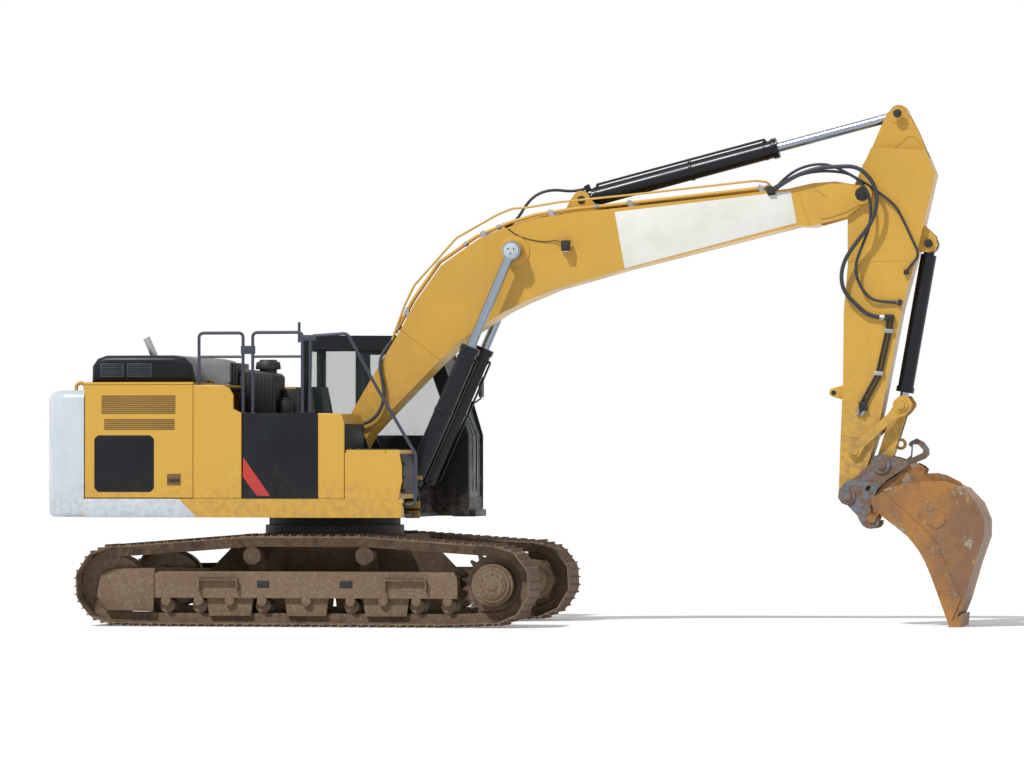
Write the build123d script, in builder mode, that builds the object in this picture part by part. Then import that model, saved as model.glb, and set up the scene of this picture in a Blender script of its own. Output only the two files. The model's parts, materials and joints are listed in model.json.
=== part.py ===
"""Crawler excavator of the 30-tonne class, as an assembly of separate pieces.

Design frame in millimetres: X forward, Y left, Z up, ground at Z = 0 and the swing axis
at X = Y = 0.  Every piece is moved by FRAME when it is written, so that the stored origin
is the centre of the footprint of the whole machine.
Side views are drawn as tables of (x, z) points and extruded between two Y values.
"""
import os
from math import atan2, cos, degrees, hypot, pi, radians, sin, tan

from build123d import *

os.makedirs("parts", exist_ok=True)

# ---------------------------------------------------------------- driving dimensions
# clearances
PIN_GAP = 0.5          # radial clearance of a pin in its bore
SEAT_GAP = 0.3         # between seated pieces of different nodes
RUN_GAP = 6.0          # side clearance between moving pieces
BEARING_GAP = 0.8      # between the rings of the swing bearing

# undercarriage
GAUGE = 2590.0         # between track centre lines
SHOE_WIDTH = 700.0
SHOE_COUNT = 50
SHOE_PLATE = 12.0
GROUSER = 26.0
LINK_HALF = 50.0       # half height of the chain links
RAIL_INNER, RAIL_OUTER = 70.0, 110.0   # chain links either side of the track centre line
IDLER_X, IDLER_Z, IDLER_TREAD = -2060.0, 438.0, 290.0
SPROCKET_X, SPROCKET_Z, SPROCKET_PITCH_R = 2000.0, 450.0, 344.0
SPROCKET_TEETH = 21
SPROCKET_WIDTH = 60.0
CARRIER_X, CARRIER_Z, CARRIER_R = 606.0, 746.0, 95.0
ROLLER_R = 80.0
ROLLER_X = (-1520.0, -1165.0, -830.0, -480.0, 0.0, 475.0, 825.0, 1180.0, 1515.0)
TRACK_FRAME_X = (-1640.0, 1620.0)
TRACK_FRAME_Z = (300.0, 580.0)
TRACK_FRAME_WIDTH = 410.0
HUB_R = 220.0
HUB_FACE_Y = 1550.0

# swing bearing and platform
BEARING_R = 750.0
BEARING_Z = (960.0, 1060.0)
DECK_Z = 1150.0        # underside of the platform
DECK_PLATE = 40.0
HOUSE_HALF = 1495.0    # half width of the upper structure
SILL_WIDTH = 105.0     # side sills, from the edge of the platform outwards
PANEL = 40.0           # depth of a side panel or door with its folded edges
SILL_TOP = 1350.0
SILL_X = (-2415.0, 1030.0)
REAR_X = -2415.0       # front face line of the counterweight less its joint
DOOR_FRONT_X = -1225.0
CAB_FRONT = 1360.0
DOOR_Z = (1360.0, 2555.0)
TAIL_R = 3070.0
COUNTERWEIGHT_TOP = 2500.0
EYE_X, EYE_Y, EYE_Z = -2680.0, 1000.0, 2560.0   # lifting eyes on the counterweight
EYE_THICK, EYE_BORE = 40.0, 32.0

# boom, stick and bucket: pins in (x, z), lengths along the members
BOOM_FOOT = (200.0, 1940.0)
BOOM_LENGTH = 6150.0
BOOM_ANGLE = 25.4
STICK_LENGTH = 3202.0
STICK_ANGLE = -92.94
BOOM_CYL_FOOT = (890.0, 1400.0)
BOOM_CYL_LUG = (2521.0, 1078.0)       # along and across the boom
STICK_CYL_LUG = (3392.0, 1276.0)      # along and across the boom
STICK_TOP_LUG = (-869.0, 332.0)       # along and across the stick
BUCKET_CYL_LUG = (497.0, 727.0)
ROCKER_LUG = (-482.0, 45.0)           # from the bucket pin, along and across the stick
# side-view places measured from the bucket pin
LINK_TOP_AT = (565.0, 960.0)          # rod eye, rocker and H-link meet here
COUPLER_TOP_AT = (363.0, 332.0)       # H-link to coupler
HOOK_FRONT_AT = (263.0, -241.0)       # bucket pins held by the quick coupler
HOOK_REAR_AT = (605.0, 204.0)
BOOM_HALF = 250.0      # over the side plates of the boom
BOOM_PLATE = 22.0
STICK_HALF = 195.0
STICK_PLATE = 20.0
BUCKET_HALF = 480.0
BUCKET_PLATE = 28.0

# hydraulic cylinders: barrel radius, rod radius, barrel end and rod length from the eyes
BOOM_CYL_Y = 420.0
BOOM_CYL = dict(barrel=95.0, bore=72.0, rod=50.0, eye=100.0, half=45.0, show=1018.0, rod_len=1745.0)
STICK_CYL = dict(barrel=98.0, bore=76.0, rod=52.0, eye=100.0, half=60.0, show=1247.0, rod_len=2145.0)
BUCKET_CYL = dict(barrel=84.0, bore=64.0, rod=46.0, eye=90.0, half=60.0, show=50.0, rod_len=1545.0)
PIN_R = 50.0


# ---------------------------------------------------------------- helpers
def side_plane(y, at=(0.0, 0.0), angle=0.0):
    """Upright plane seen from the right: x along the angle, y across it, normal to -Y."""
    a = radians(angle)
    return Plane(origin=(at[0], y, at[1]), x_dir=(cos(a), 0, sin(a)), z_dir=(0, -1, 0))


def profile(points, y0, y1, at=(0.0, 0.0), angle=0.0, mode=Mode.ADD):
    """Side-view outline extruded from y0 to y1 in the part being built."""
    with BuildSketch(side_plane(max(y0, y1), at, angle)) as face:
        with BuildLine():
            Polyline(*points, close=True)
        make_face()
    extrude(face.sketch, amount=abs(y1 - y0), mode=mode)


def disc(x, z, r, y0, y1, mode=Mode.ADD):
    """Round boss, pin or bore across the machine."""
    with BuildSketch(side_plane(max(y0, y1))) as face:
        with Locations((x, z)):
            Circle(r)
    extrude(face.sketch, amount=abs(y1 - y0), mode=mode)


def block(x0, x1, y0, y1, z0, z1, mode=Mode.ADD):
    with Locations(((x0 + x1) / 2, (y0 + y1) / 2, (z0 + z1) / 2)):
        Box(abs(x1 - x0), abs(y1 - y0), abs(z1 - z0), mode=mode)


def along(p, q, y):
    """Plane at p whose normal runs to q, both side-view points."""
    return Plane(origin=(p[0], y, p[1]), x_dir=(0, 1, 0), z_dir=(q[0] - p[0], 0, q[1] - p[1]))


def shaft(p, q, y, r, start, end, mode=Mode.ADD):
    """Round bar on the line from p to q, between two distances from p."""
    with BuildSketch(along(p, q, y).offset(start)) as face:
        Circle(r)
    extrude(face.sketch, amount=end - start, mode=mode)


def place(origin, angle, local):
    """Side-view point of a local (along, across) pair."""
    a = radians(angle)
    return (origin[0] + local[0] * cos(a) - local[1] * sin(a),
            origin[1] + local[0] * sin(a) + local[1] * cos(a))


def tube_path(points, r, bend):
    """Pipe of radius r through the points, its corners rounded."""
    with BuildLine() as run:
        FilletPolyline(*points, radius=bend)
    path = run.wire()
    with BuildSketch(Plane(origin=path @ 0, z_dir=path % 0)) as face:
        Circle(r)
    sweep(face.sketch, path=path)


SAVED = []


def save(part, name):
    SAVED.append((part, name))


# ---------------------------------------------------------------- derived places
YC = GAUGE / 2
BOOM_NOSE = place(BOOM_FOOT, BOOM_ANGLE, (BOOM_LENGTH, 0))
BOOM_EYE = place(BOOM_FOOT, BOOM_ANGLE, BOOM_CYL_LUG)
STICK_FOOT = place(BOOM_FOOT, BOOM_ANGLE, STICK_CYL_LUG)
STICK_TOP = place(BOOM_NOSE, STICK_ANGLE, STICK_TOP_LUG)
BUCKET_PIN = place(BOOM_NOSE, STICK_ANGLE, (STICK_LENGTH, 0))
ROCKER_PIN = place(BOOM_NOSE, STICK_ANGLE, (STICK_LENGTH + ROCKER_LUG[0], ROCKER_LUG[1]))
BUCKET_FOOT = place(BOOM_NOSE, STICK_ANGLE, BUCKET_CYL_LUG)


def from_pin(*points):
    """Side-view points given from the bucket pin."""
    return [(BUCKET_PIN[0] + x, BUCKET_PIN[1] + z) for x, z in points]


LINK_TOP, COUPLER_TOP, HOOK_FRONT, HOOK_REAR = from_pin(LINK_TOP_AT, COUPLER_TOP_AT,
                                                        HOOK_FRONT_AT, HOOK_REAR_AT)

# ---------------------------------------------------------------- track loop
SHOE_OUT = LINK_HALF + SHOE_PLATE          # outer face of a shoe plate from the pitch line
TRACK_OUT = SHOE_OUT + GROUSER             # grouser tips from the pitch line
# circles the pitch line runs round, in order: (x, z, pitch radius)
LOOP_CIRCLES = (
    (IDLER_X, IDLER_Z, IDLER_TREAD + LINK_HALF),
    (-CARRIER_X, CARRIER_Z, CARRIER_R + LINK_HALF),
    (CARRIER_X, CARRIER_Z, CARRIER_R + LINK_HALF),
    (SPROCKET_X, SPROCKET_Z, SPROCKET_PITCH_R),
    (ROLLER_X[-1], TRACK_OUT + LINK_HALF + ROLLER_R, ROLLER_R + LINK_HALF),
    (ROLLER_X[0], TRACK_OUT + LINK_HALF + ROLLER_R, ROLLER_R + LINK_HALF),
)


def belt(circles):
    """Lines and arcs of a belt run clockwise (seen from the right) round the circles."""
    spans = []
    n = len(circles)
    touch = []
    for i in range(n):
        (x0, z0, r0), (x1, z1, r1) = circles[i], circles[(i + 1) % n]
        d = hypot(x1 - x0, z1 - z0)
        base = atan2(z1 - z0, x1 - x0)
        normal = base + pi / 2 - atan2(r1 - r0, (d * d - (r1 - r0) ** 2) ** 0.5) * -1
        touch.append(normal)
    for i in range(n):
        (x0, z0, r0), (x1, z1, r1) = circles[i], circles[(i + 1) % n]
        a_in, a_out = touch[i - 1], touch[i]
        turn = (a_in - a_out) % (2 * pi)
        spans.append(("arc", x0, z0, r0, a_in, turn))
        p = (x0 + r0 * cos(a_out), z0 + r0 * sin(a_out))
        q = (x1 + r1 * cos(a_out), z1 + r1 * sin(a_out))
        spans.append(("line", p, q, hypot(q[0] - p[0], q[1] - p[1]), a_out))
    return spans


LOOP = belt(LOOP_CIRCLES)
LOOP_LENGTH = sum(s[3] * s[5] if s[0] == "arc" else s[3] for s in LOOP)
SHOE_PITCH = LOOP_LENGTH / SHOE_COUNT


def loop_at(s):
    """Point, outward normal angle and curvature of the pitch line at arc length s."""
    s %= LOOP_LENGTH
    for span in LOOP:
        length = span[3] * span[5] if span[0] == "arc" else span[3]
        if s <= length:
            if span[0] == "arc":
                a = span[4] - s / span[3]
                return span[1] + span[3] * cos(a), span[2] + span[3] * sin(a), a, 1 / span[3]
            (px, pz), (qx, qz) = span[1], span[2]
            t = s / length
            a = atan2(qz - pz, qx - px) + pi / 2
            return px + (qx - px) * t, pz + (qz - pz) * t, a, 0.0
        s -= length
    return loop_at(0.0)


def shoe_point(i, u, v):
    """Point of shoe i: u along its travel, v outward from the pitch line."""
    x, z, a, _ = loop_at((i + 0.5) * SHOE_PITCH)
    return (x + v * cos(a) + u * sin(a), z + v * sin(a) - u * cos(a))


def joint_point(i, v):
    """Corner shared by shoes i and i + 1 at the distance v from the pitch line."""
    turn = (loop_at((i + 0.5) * SHOE_PITCH)[2] - loop_at((i + 1.5) * SHOE_PITCH)[2]) % (2 * pi)
    reach = SHOE_PITCH / 2 + v * tan(turn / 2)
    pts = [shoe_point(i, reach, v), shoe_point(i + 1, -reach, v)]
    return ((pts[0][0] + pts[1][0]) / 2, (pts[0][1] + pts[1][1]) / 2)


BAR_FOOT = 11.0                            # half width of a grouser bar at its foot
SHOE_GAP = 12.0                            # between neighbouring shoes


def shoe_outline(i):
    """Plate of one shoe with its three grouser bars, as seen from the side."""
    half = (SHOE_PITCH - SHOE_GAP) / 2
    pts = []
    for u in (BAR_FOOT - half, 0.0, half - BAR_FOOT):
        pts += [shoe_point(i, u - BAR_FOOT, SHOE_OUT), shoe_point(i, u, TRACK_OUT),
                shoe_point(i, u + BAR_FOOT, SHOE_OUT)]
    return pts


def rail_outline(v):
    """Chain links at the distance v from the pitch line, a chord for every 15 degrees."""
    pts = []
    for span in LOOP:
        if span[0] == "line":
            continue
        _, x, z, r, start, turn = span
        n = max(1, round(turn / radians(15)))
        reach = (r + v) / cos(turn / n / 2)
        for k in range(n):
            a = start - (k + 0.5) * turn / n
            pts.append((x + reach * cos(a), z + reach * sin(a)))
    return pts


def track(y):
    """Chain and shoes of one side as one loop round the centre line y."""
    with BuildPart() as loop:
        outer = [p for i in range(SHOE_COUNT) for p in shoe_outline(i)]
        profile(outer, y - SHOE_WIDTH / 2, y + SHOE_WIDTH / 2)
        inner = [joint_point(i, LINK_HALF) for i in range(SHOE_COUNT)]
        profile(inner, y - SHOE_WIDTH / 2, y + SHOE_WIDTH / 2, mode=Mode.SUBTRACT)
        for side in (-1, 1):
            ya, yb = y + side * RAIL_INNER, y + side * RAIL_OUTER
            with BuildSketch(side_plane(max(ya, yb))) as rail:
                for v, how in ((LINK_HALF + 2.0, Mode.ADD), (-LINK_HALF, Mode.SUBTRACT)):
                    with BuildLine():
                        Polyline(*rail_outline(v), close=True)
                    make_face(mode=how)
            extrude(rail.sketch, amount=RAIL_OUTER - RAIL_INNER)
    return loop


for y, name in ((-YC, "track_right"), (YC, "track_left")):
    save(track(y), name)

# ---------------------------------------------------------------- undercarriage
with BuildPart() as car_body:
    leg = 1090.0
    with BuildSketch(Plane.XY.offset(TRACK_FRAME_Z[0])):
        with BuildLine():
            Polyline((-1150, -leg), (-620, -leg), (-430, -640), (430, -640), (620, -leg),
                     (1150, -leg), (800, -420), (800, 420), (1150, leg), (620, leg),
                     (430, 640), (-430, 640), (-620, leg), (-1150, leg), (-800, 420),
                     (-800, -420), close=True)
        make_face()
    extrude(amount=BEARING_Z[0] - TRACK_FRAME_Z[0])
    with BuildSketch(Plane.YZ.offset(-1200)):
        with BuildLine():
            Polyline((-leg, 330), (-leg, 570), (-700, 860), (-640, BEARING_Z[0]),
                     (640, BEARING_Z[0]), (700, 860), (leg, 570), (leg, 330), (760, 510),
                     (-760, 510), close=True)
        make_face()
    extrude(amount=2400, mode=Mode.INTERSECT)
save(car_body, "car_body")

with BuildPart() as swing_bearing:
    with BuildSketch(Plane.XY.offset(BEARING_Z[0])):
        Circle(BEARING_R)
        Circle(BEARING_R - 110, mode=Mode.SUBTRACT)
    extrude(amount=BEARING_Z[1] - BEARING_Z[0])
save(swing_bearing, "swing_bearing")


def track_frame(s):
    """Box beam of one side with its idler yoke and final-drive bracket."""
    y_in, y_out = s * (YC - TRACK_FRAME_WIDTH / 2), s * (YC + TRACK_FRAME_WIDTH / 2)
    with BuildPart() as frame:
        z0, z1 = TRACK_FRAME_Z
        x0, x1 = TRACK_FRAME_X
        profile([(x0, z0), (x0, z1 - 20), (x0 + 60, z1), (x1 - 40, z1), (x1, z1 - 60), (x1, z0)],
                y_in, y_out)
        # roller tunnel under the beam
        block(x0 - 1, x1 + 1, s * (YC - 150), s * (YC + 150), z0 - 1, z0 + 60, mode=Mode.SUBTRACT)
        # idler yoke
        for off in (-1, 1):
            ya, yb = s * YC + off * 120, s * YC + off * 160
            profile([(x0, 320), (-2240, 320), (-2250, 540), (-2200, 575), (x0, 560)], ya, yb)
        # final-drive bracket on the inner side
        ya, yb = s * (YC - 205), s * (YC - 145)
        profile([(x1, z0), (x1, z1), (1900, 690), (2150, 660), (2250, 450), (2150, 250),
                 (1900, 210)], ya, yb)
        disc(SPROCKET_X, SPROCKET_Z, HUB_R + SEAT_GAP, ya, yb, mode=Mode.SUBTRACT)
        # guard plates between the rollers
        for gx0, gx1 in ((-1060, -606), (-216, 205), (628, 1071)):
            for off in (-1, 1):
                ga, gb = s * YC + off * 130, s * YC + off * 155
                profile([(gx0, 110), (gx0 - 25, z0), (gx1 + 25, z0), (gx1, 110)], ga, gb)
        # posts for the carrier rollers
        for cx in (-CARRIER_X, CARRIER_X):
            profile([(cx - 110, z1), (cx - 70, 760), (cx + 70, 760), (cx + 110, z1)],
                    s * (YC - 205), s * (YC - 165))
    return frame


save(track_frame(-1), "track_frame_right")
save(track_frame(1), "track_frame_left")

with BuildPart() as idlers:
    for s in (-1, 1):
        disc(IDLER_X, IDLER_Z, IDLER_TREAD - SEAT_GAP, s * YC - 110, s * YC + 110)
        disc(IDLER_X, IDLER_Z, IDLER_TREAD + 22, s * YC - 60, s * YC + 60)
        disc(IDLER_X, IDLER_Z, 70, s * YC - 120 + SEAT_GAP, s * YC + 120 - SEAT_GAP)
save(idlers, "idlers")

with BuildPart() as sprockets:
    tip, root = SPROCKET_PITCH_R + 22, SPROCKET_PITCH_R - 34
    step = 2 * pi / SPROCKET_TEETH
    teeth = []
    for k in range(SPROCKET_TEETH):
        for r, frac in ((root, -0.30), (tip, -0.10), (tip, 0.10), (root, 0.30)):
            a = (k + frac) * step
            teeth.append((SPROCKET_X + r * cos(a), SPROCKET_Z + r * sin(a)))
    for s in (-1, 1):
        profile(teeth, s * YC - SPROCKET_WIDTH / 2, s * YC + SPROCKET_WIDTH / 2)
        disc(SPROCKET_X, SPROCKET_Z, HUB_R + SEAT_GAP, s * YC - 40, s * YC + 40, mode=Mode.SUBTRACT)
save(sprockets, "sprockets")

with BuildPart() as final_drives:
    for s in (-1, 1):
        disc(SPROCKET_X, SPROCKET_Z, HUB_R, s * (YC - 260), s * (HUB_FACE_Y - 25))
        disc(SPROCKET_X, SPROCKET_Z, HUB_R - 35, s * (HUB_FACE_Y - 25), s * HUB_FACE_Y)
        disc(SPROCKET_X, SPROCKET_Z, HUB_R - 60, s * (YC - 400), s * (YC - 260))
save(final_drives, "final_drives")

with BuildPart() as bottom_rollers:
    z = TRACK_OUT + LINK_HALF + ROLLER_R
    for s in (-1, 1):
        for x in ROLLER_X:
            disc(x, z, ROLLER_R - SEAT_GAP, s * YC - 118, s * YC + 118)
save(bottom_rollers, "bottom_rollers")

with BuildPart() as carrier_rollers:
    for s in (-1, 1):
        for x in (-CARRIER_X, CARRIER_X):
            disc(x, CARRIER_Z, CARRIER_R - SEAT_GAP, s * YC - 115, s * YC + 105)
            disc(x, CARRIER_Z, 45, s * (YC - 165 + SEAT_GAP), s * (YC - 115))
save(carrier_rollers, "carrier_rollers")

# ---------------------------------------------------------------- upper structure: platform
FRAME_IN, FRAME_OUT = 296.0, 346.0         # main plates that carry the boom foot
EAR_IN = BOOM_CYL_Y - BOOM_CYL["half"] - RUN_GAP
EAR_OUT = BOOM_CYL_Y + BOOM_CYL["half"] + RUN_GAP
SILL_IN = HOUSE_HALF - SILL_WIDTH
deck_top = DECK_Z + DECK_PLATE

# round top of the boom-cylinder brackets, inside the sweep of the barrels
ear_r = BOOM_CYL["eye"] + 4
ear_top = [(BOOM_CYL_FOOT[0] + ear_r * cos(radians(a)), BOOM_CYL_FOOT[1] + ear_r * sin(radians(a)))
           for a in (150, 125, 95, 65, 35, 5)]
ear_top += [(BOOM_CYL_FOOT[0] + ear_r, 1275), (1020, deck_top - 1)]

with BuildPart() as main_frame:
    with BuildSketch(Plane.XY.offset(DECK_Z)):
        with BuildLine():
            Polyline((REAR_X, -SILL_IN), (980, -SILL_IN), (980, -560), (1040, -520), (1040, 520),
                     (980, 560), (CAB_FRONT, 560), (CAB_FRONT, HOUSE_HALF), (-510, HOUSE_HALF),
                     (-510, SILL_IN), (REAR_X, SILL_IN), close=True)
        make_face()
    extrude(amount=DECK_PLATE)
    with BuildSketch(Plane.XY.offset(BEARING_Z[1] + BEARING_GAP)):
        Circle(BEARING_R - 40)
        Circle(BEARING_R - 180, mode=Mode.SUBTRACT)
    extrude(amount=DECK_Z - BEARING_Z[1] - BEARING_GAP)
    for s in (-1, 1):
        profile([(REAR_X, deck_top - 1), (REAR_X, 1480), (-1280, 1480), (-500, 1700), (0, 2060),
                 (90, 2110), (300, 2110), (380, 2040), (560, 1560), (700, 1410)] + ear_top,
                s * FRAME_IN, s * FRAME_OUT)
        ear = [(640, deck_top - 1), (700, 1410)] + ear_top
        profile(ear, s * EAR_OUT, s * (EAR_OUT + 34))
        profile(ear, s * FRAME_OUT, s * EAR_IN)
        disc(*BOOM_CYL_FOOT, PIN_R, s * FRAME_OUT, s * (EAR_OUT + 50))
        disc(*BOOM_FOOT, 60, s * (FRAME_IN - 150), s * (FRAME_OUT + 25))
save(main_frame, "main_frame")

with BuildPart() as counterweight:
    with BuildSketch(Plane.XY.offset(DECK_Z)):
        with BuildLine():
            Line((REAR_X - SEAT_GAP, -HOUSE_HALF), (REAR_X - SEAT_GAP, HOUSE_HALF))
            Line((REAR_X - SEAT_GAP, HOUSE_HALF), (-2740, HOUSE_HALF))
            ThreePointArc((-2740, HOUSE_HALF), (-TAIL_R, 0), (-2740, -HOUSE_HALF))
            Line((-2740, -HOUSE_HALF), (REAR_X - SEAT_GAP, -HOUSE_HALF))
        make_face()
    extrude(amount=COUNTERWEIGHT_TOP - DECK_Z)
    for s in (-1, 1):
        ya, yb = s * (EYE_Y - EYE_THICK / 2), s * (EYE_Y + EYE_THICK / 2)
        base = COUNTERWEIGHT_TOP - 1
        profile([(EYE_X - 90, base), (EYE_X - 60, EYE_Z + 40), (EYE_X, EYE_Z + 70),
                 (EYE_X + 60, EYE_Z + 40), (EYE_X + 90, base)], ya, yb)
        disc(EYE_X, EYE_Z, EYE_BORE, ya, yb, mode=Mode.SUBTRACT)
save(counterweight, "counterweight")

# hinge pins of the rear doors stand in the sill and hang from the top plate
DOOR_REAR_X = REAR_X + 12
HINGE_IN = 14.0        # pivot from the hinge edge and from the outer face
HINGE_X, HINGE_Y = DOOR_REAR_X + HINGE_IN, HOUSE_HALF - HINGE_IN
HINGE_R = 7.0


def upright_pin(x, y, r, z0, z1, mode=Mode.ADD):
    with BuildSketch(Plane.XY.offset(z0)) as face:
        with Locations((x, y)):
            Circle(r)
    extrude(face.sketch, amount=z1 - z0, mode=mode)


with BuildPart() as side_sills:
    block(SILL_X[0], SILL_X[1], -(SILL_IN + SEAT_GAP), -HOUSE_HALF, DECK_Z, SILL_TOP)
    block(SILL_X[0], -512, SILL_IN + SEAT_GAP, HOUSE_HALF, DECK_Z, SILL_TOP)
    for s in (-1, 1):
        upright_pin(HINGE_X, s * HINGE_Y, HINGE_R, SILL_TOP - 1, SILL_TOP + 38)
save(side_sills, "side_sills")

# ---------------------------------------------------------------- upper structure: body panels
p_in = HOUSE_HALF - PANEL


def rear_door(s):
    with BuildPart() as door:
        block(DOOR_REAR_X, DOOR_FRONT_X - 4, s * p_in, s * HOUSE_HALF, *DOOR_Z)
        for z0, z1 in ((DOOR_Z[0] - 1, SILL_TOP + 42), (DOOR_Z[1] - 32, DOOR_Z[1] + 1)):
            upright_pin(HINGE_X, s * HINGE_Y, HINGE_R + PIN_GAP, z0, z1, mode=Mode.SUBTRACT)
    return door


save(rear_door(-1), "right_rear_door")
save(rear_door(1), "left_rear_door")

HOOD_HINGE = (-1244.0, 2604.0)
HOOD_HINGE_Y = 520.0

with BuildPart() as engine_bay_walls:
    for s in (-1, 1):
        # lintel and front bulkhead that the doors close against
        block(REAR_X, DOOR_FRONT_X, s * (p_in - 60), s * (p_in - 10), 2500, 2560)
        block(DOOR_FRONT_X - 60, DOOR_FRONT_X - 20, s * 420, s * (SILL_IN - 2), deck_top + SEAT_GAP, 2560)
    with BuildSketch(Plane.XY.offset(2560)):
        with Locations(((REAR_X + DOOR_FRONT_X) / 2, 0)):
            Rectangle(DOOR_FRONT_X - REAR_X, 2 * HOUSE_HALF)
        with Locations(((REAR_X + DOOR_FRONT_X) / 2 - 10, 0)):
            Rectangle(960, 1400, mode=Mode.SUBTRACT)
    extrude(amount=25)
    for s in (-1, 1):
        upright_pin(HINGE_X, s * HINGE_Y, HINGE_R, DOOR_Z[1] - 28, 2561)
        # pin of the hood's hinge between two lugs
        mid = s * HOOD_HINGE_Y
        disc(*HOOD_HINGE, 8, mid - 60, mid + 60)
        for off in (-54, 54):
            disc(*HOOD_HINGE, 14, mid + off - 7, mid + off + 7)
            block(HOOD_HINGE[0] - 14, HOOD_HINGE[0] + 14, mid + off - 7, mid + off + 7, 2584,
                  HOOD_HINGE[1])
save(engine_bay_walls, "engine_bay_walls")

with BuildPart() as engine_block:
    block(-2250, -1330, -560, 560, 1480 + SEAT_GAP, 2420)
save(engine_block, "engine_block")

with BuildPart() as engine_hood:
    hood = [(-2400, 2585.3), (-2395, 2760), (-2340, 2840), (-2240, 2875), (-1500, 2875),
            (-1380, 2850), (-1300, 2770), (-1262, 2585.3)]
    profile(hood, -720, 720)
    inner = [(-2370, 2584), (-2368, 2750), (-2322, 2815), (-2235, 2845), (-1505, 2845),
             (-1395, 2822), (-1326, 2756), (-1292, 2584)]
    profile(inner, -690, 690, mode=Mode.SUBTRACT)
    for x0, x1 in ((-2270, -1860), (-1790, -1400)):
        block(x0, x1, -721, 721, 2660, 2790, mode=Mode.SUBTRACT)
    block(-2282, -1950, -125, 125, 2800, 2900, mode=Mode.SUBTRACT)
    for s in (-1, 1):
        mid = s * HOOD_HINGE_Y
        disc(*HOOD_HINGE, 14, mid - 44, mid + 44)
        block(-1272, HOOD_HINGE[0], mid - 44, mid + 44, HOOD_HINGE[1] - 8, HOOD_HINGE[1] + 8)
        disc(*HOOD_HINGE, 8 + PIN_GAP, mid - 45, mid + 45, mode=Mode.SUBTRACT)
save(engine_hood, "engine_hood")

with BuildPart() as exhaust:
    with BuildSketch(Plane(origin=(-2046, 0, 2420 + SEAT_GAP), z_dir=(0, 0, 1))):
        Circle(62)
    extrude(amount=485)
    with BuildSketch(Plane(origin=(-2046, 0, 2900), z_dir=(-0.55, 0, 0.84))):
        Circle(62)
    extrude(amount=190)
save(exhaust, "exhaust")

with BuildPart() as pump_panel:
    profile([(DOOR_FRONT_X, SILL_TOP), (DOOR_FRONT_X, 2555), (-909, 2555), (-835, 2520),
             (-790, 2450), (-790, 2300), (-700, 2255), (-700, SILL_TOP)], -HOUSE_HALF, -p_in)
    block(DOOR_FRONT_X, -909, -p_in, -420, 2530, 2555)
save(pump_panel, "pump_panel")

with BuildPart() as hydraulic_tank:
    block(-680, 115, -HOUSE_HALF, -460, SILL_TOP, 2250)
save(hydraulic_tank, "hydraulic_tank")

with BuildPart() as fuel_tank:
    profile([(125, SILL_TOP), (125, 2255), (380, 2248), (410, 2150), (410, SILL_TOP)],
            -HOUSE_HALF, -460)
save(fuel_tank, "fuel_tank")

BOX_TOP, LID_TOP = 1835.0, 1866.0
BOX_IN = -620.0        # inner side of the tool box
LID_HINGE = (428.0, 1874.0)
LID_HINGE_Y = (-1300.0, -800.0)

with BuildPart() as tool_box:
    profile([(416, SILL_TOP), (416, BOX_TOP), (1000, BOX_TOP), (1025, 1700), (1028, 1540),
             (990, SILL_TOP)], -HOUSE_HALF, BOX_IN)
    profile([(440, SILL_TOP + 30), (440, BOX_TOP + 1), (975, BOX_TOP + 1), (1000, 1700),
             (1000, 1540), (965, SILL_TOP + 30)], -HOUSE_HALF + 25, BOX_IN - 25, mode=Mode.SUBTRACT)
    block(856, 1004, -HOUSE_HALF, BOX_IN, BOX_TOP - 1, LID_TOP)
    for mid in LID_HINGE_Y:
        disc(*LID_HINGE, 5, mid - 56, mid + 56)
        for off in (-50, 50):
            disc(*LID_HINGE, 8, mid + off - 6, mid + off + 6)
            block(417, 425, mid + off - 6, mid + off + 6, BOX_TOP - 1, LID_HINGE[1])
save(tool_box, "tool_box")

with BuildPart() as tool_box_lid:
    block(LID_HINGE[0], 850, -HOUSE_HALF, BOX_IN, BOX_TOP + SEAT_GAP, LID_TOP)
    for mid in LID_HINGE_Y:
        disc(*LID_HINGE, 10, mid - 40, mid + 40)
        block(LID_HINGE[0], 452, mid - 40, mid + 40, LID_TOP - 1, LID_HINGE[1] + 4)
        disc(*LID_HINGE, 5 + PIN_GAP, mid - 41, mid + 41, mode=Mode.SUBTRACT)
save(tool_box_lid, "tool_box_lid")

with BuildPart() as left_panels:
    block(DOOR_FRONT_X, -520, p_in, HOUSE_HALF, SILL_TOP, 2555)
    block(DOOR_FRONT_X, -520, 420, p_in, 2530, 2555)
    block(-560, -520, 560, SILL_IN - 2, deck_top + SEAT_GAP, 2530)
    block(-560, -520, SILL_IN - 10, p_in, SILL_TOP + 2, 2530)
save(left_panels, "left_panels")

with BuildPart() as valve_bay_cover:
    block(DOOR_FRONT_X, -420, -410, 410, 2200, 2240)
    for s in (-1, 1):
        block(DOOR_FRONT_X, -420, s * 370, s * 410, deck_top + SEAT_GAP, 2201)
save(valve_bay_cover, "valve_bay_cover")

with BuildPart() as handrails:
    yr = -(HOUSE_HALF - 55)
    for x0, x1, z0, z1 in ((-1180, -940, 2555 + SEAT_GAP, 3120), (-620, -80, 2250 + SEAT_GAP, 3130)):
        tube_path([(x0, yr, z0), (x0, yr, z1), (x1, yr, z1), (x1, yr, z0)], 17, 70)
    tube_path([(20, yr, 2250 + SEAT_GAP), (20, yr, 3130), (330, yr, 3150), (900, yr, 2360),
               (900, yr, LID_TOP + SEAT_GAP)], 17, 70)
save(handrails, "handrails")

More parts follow.
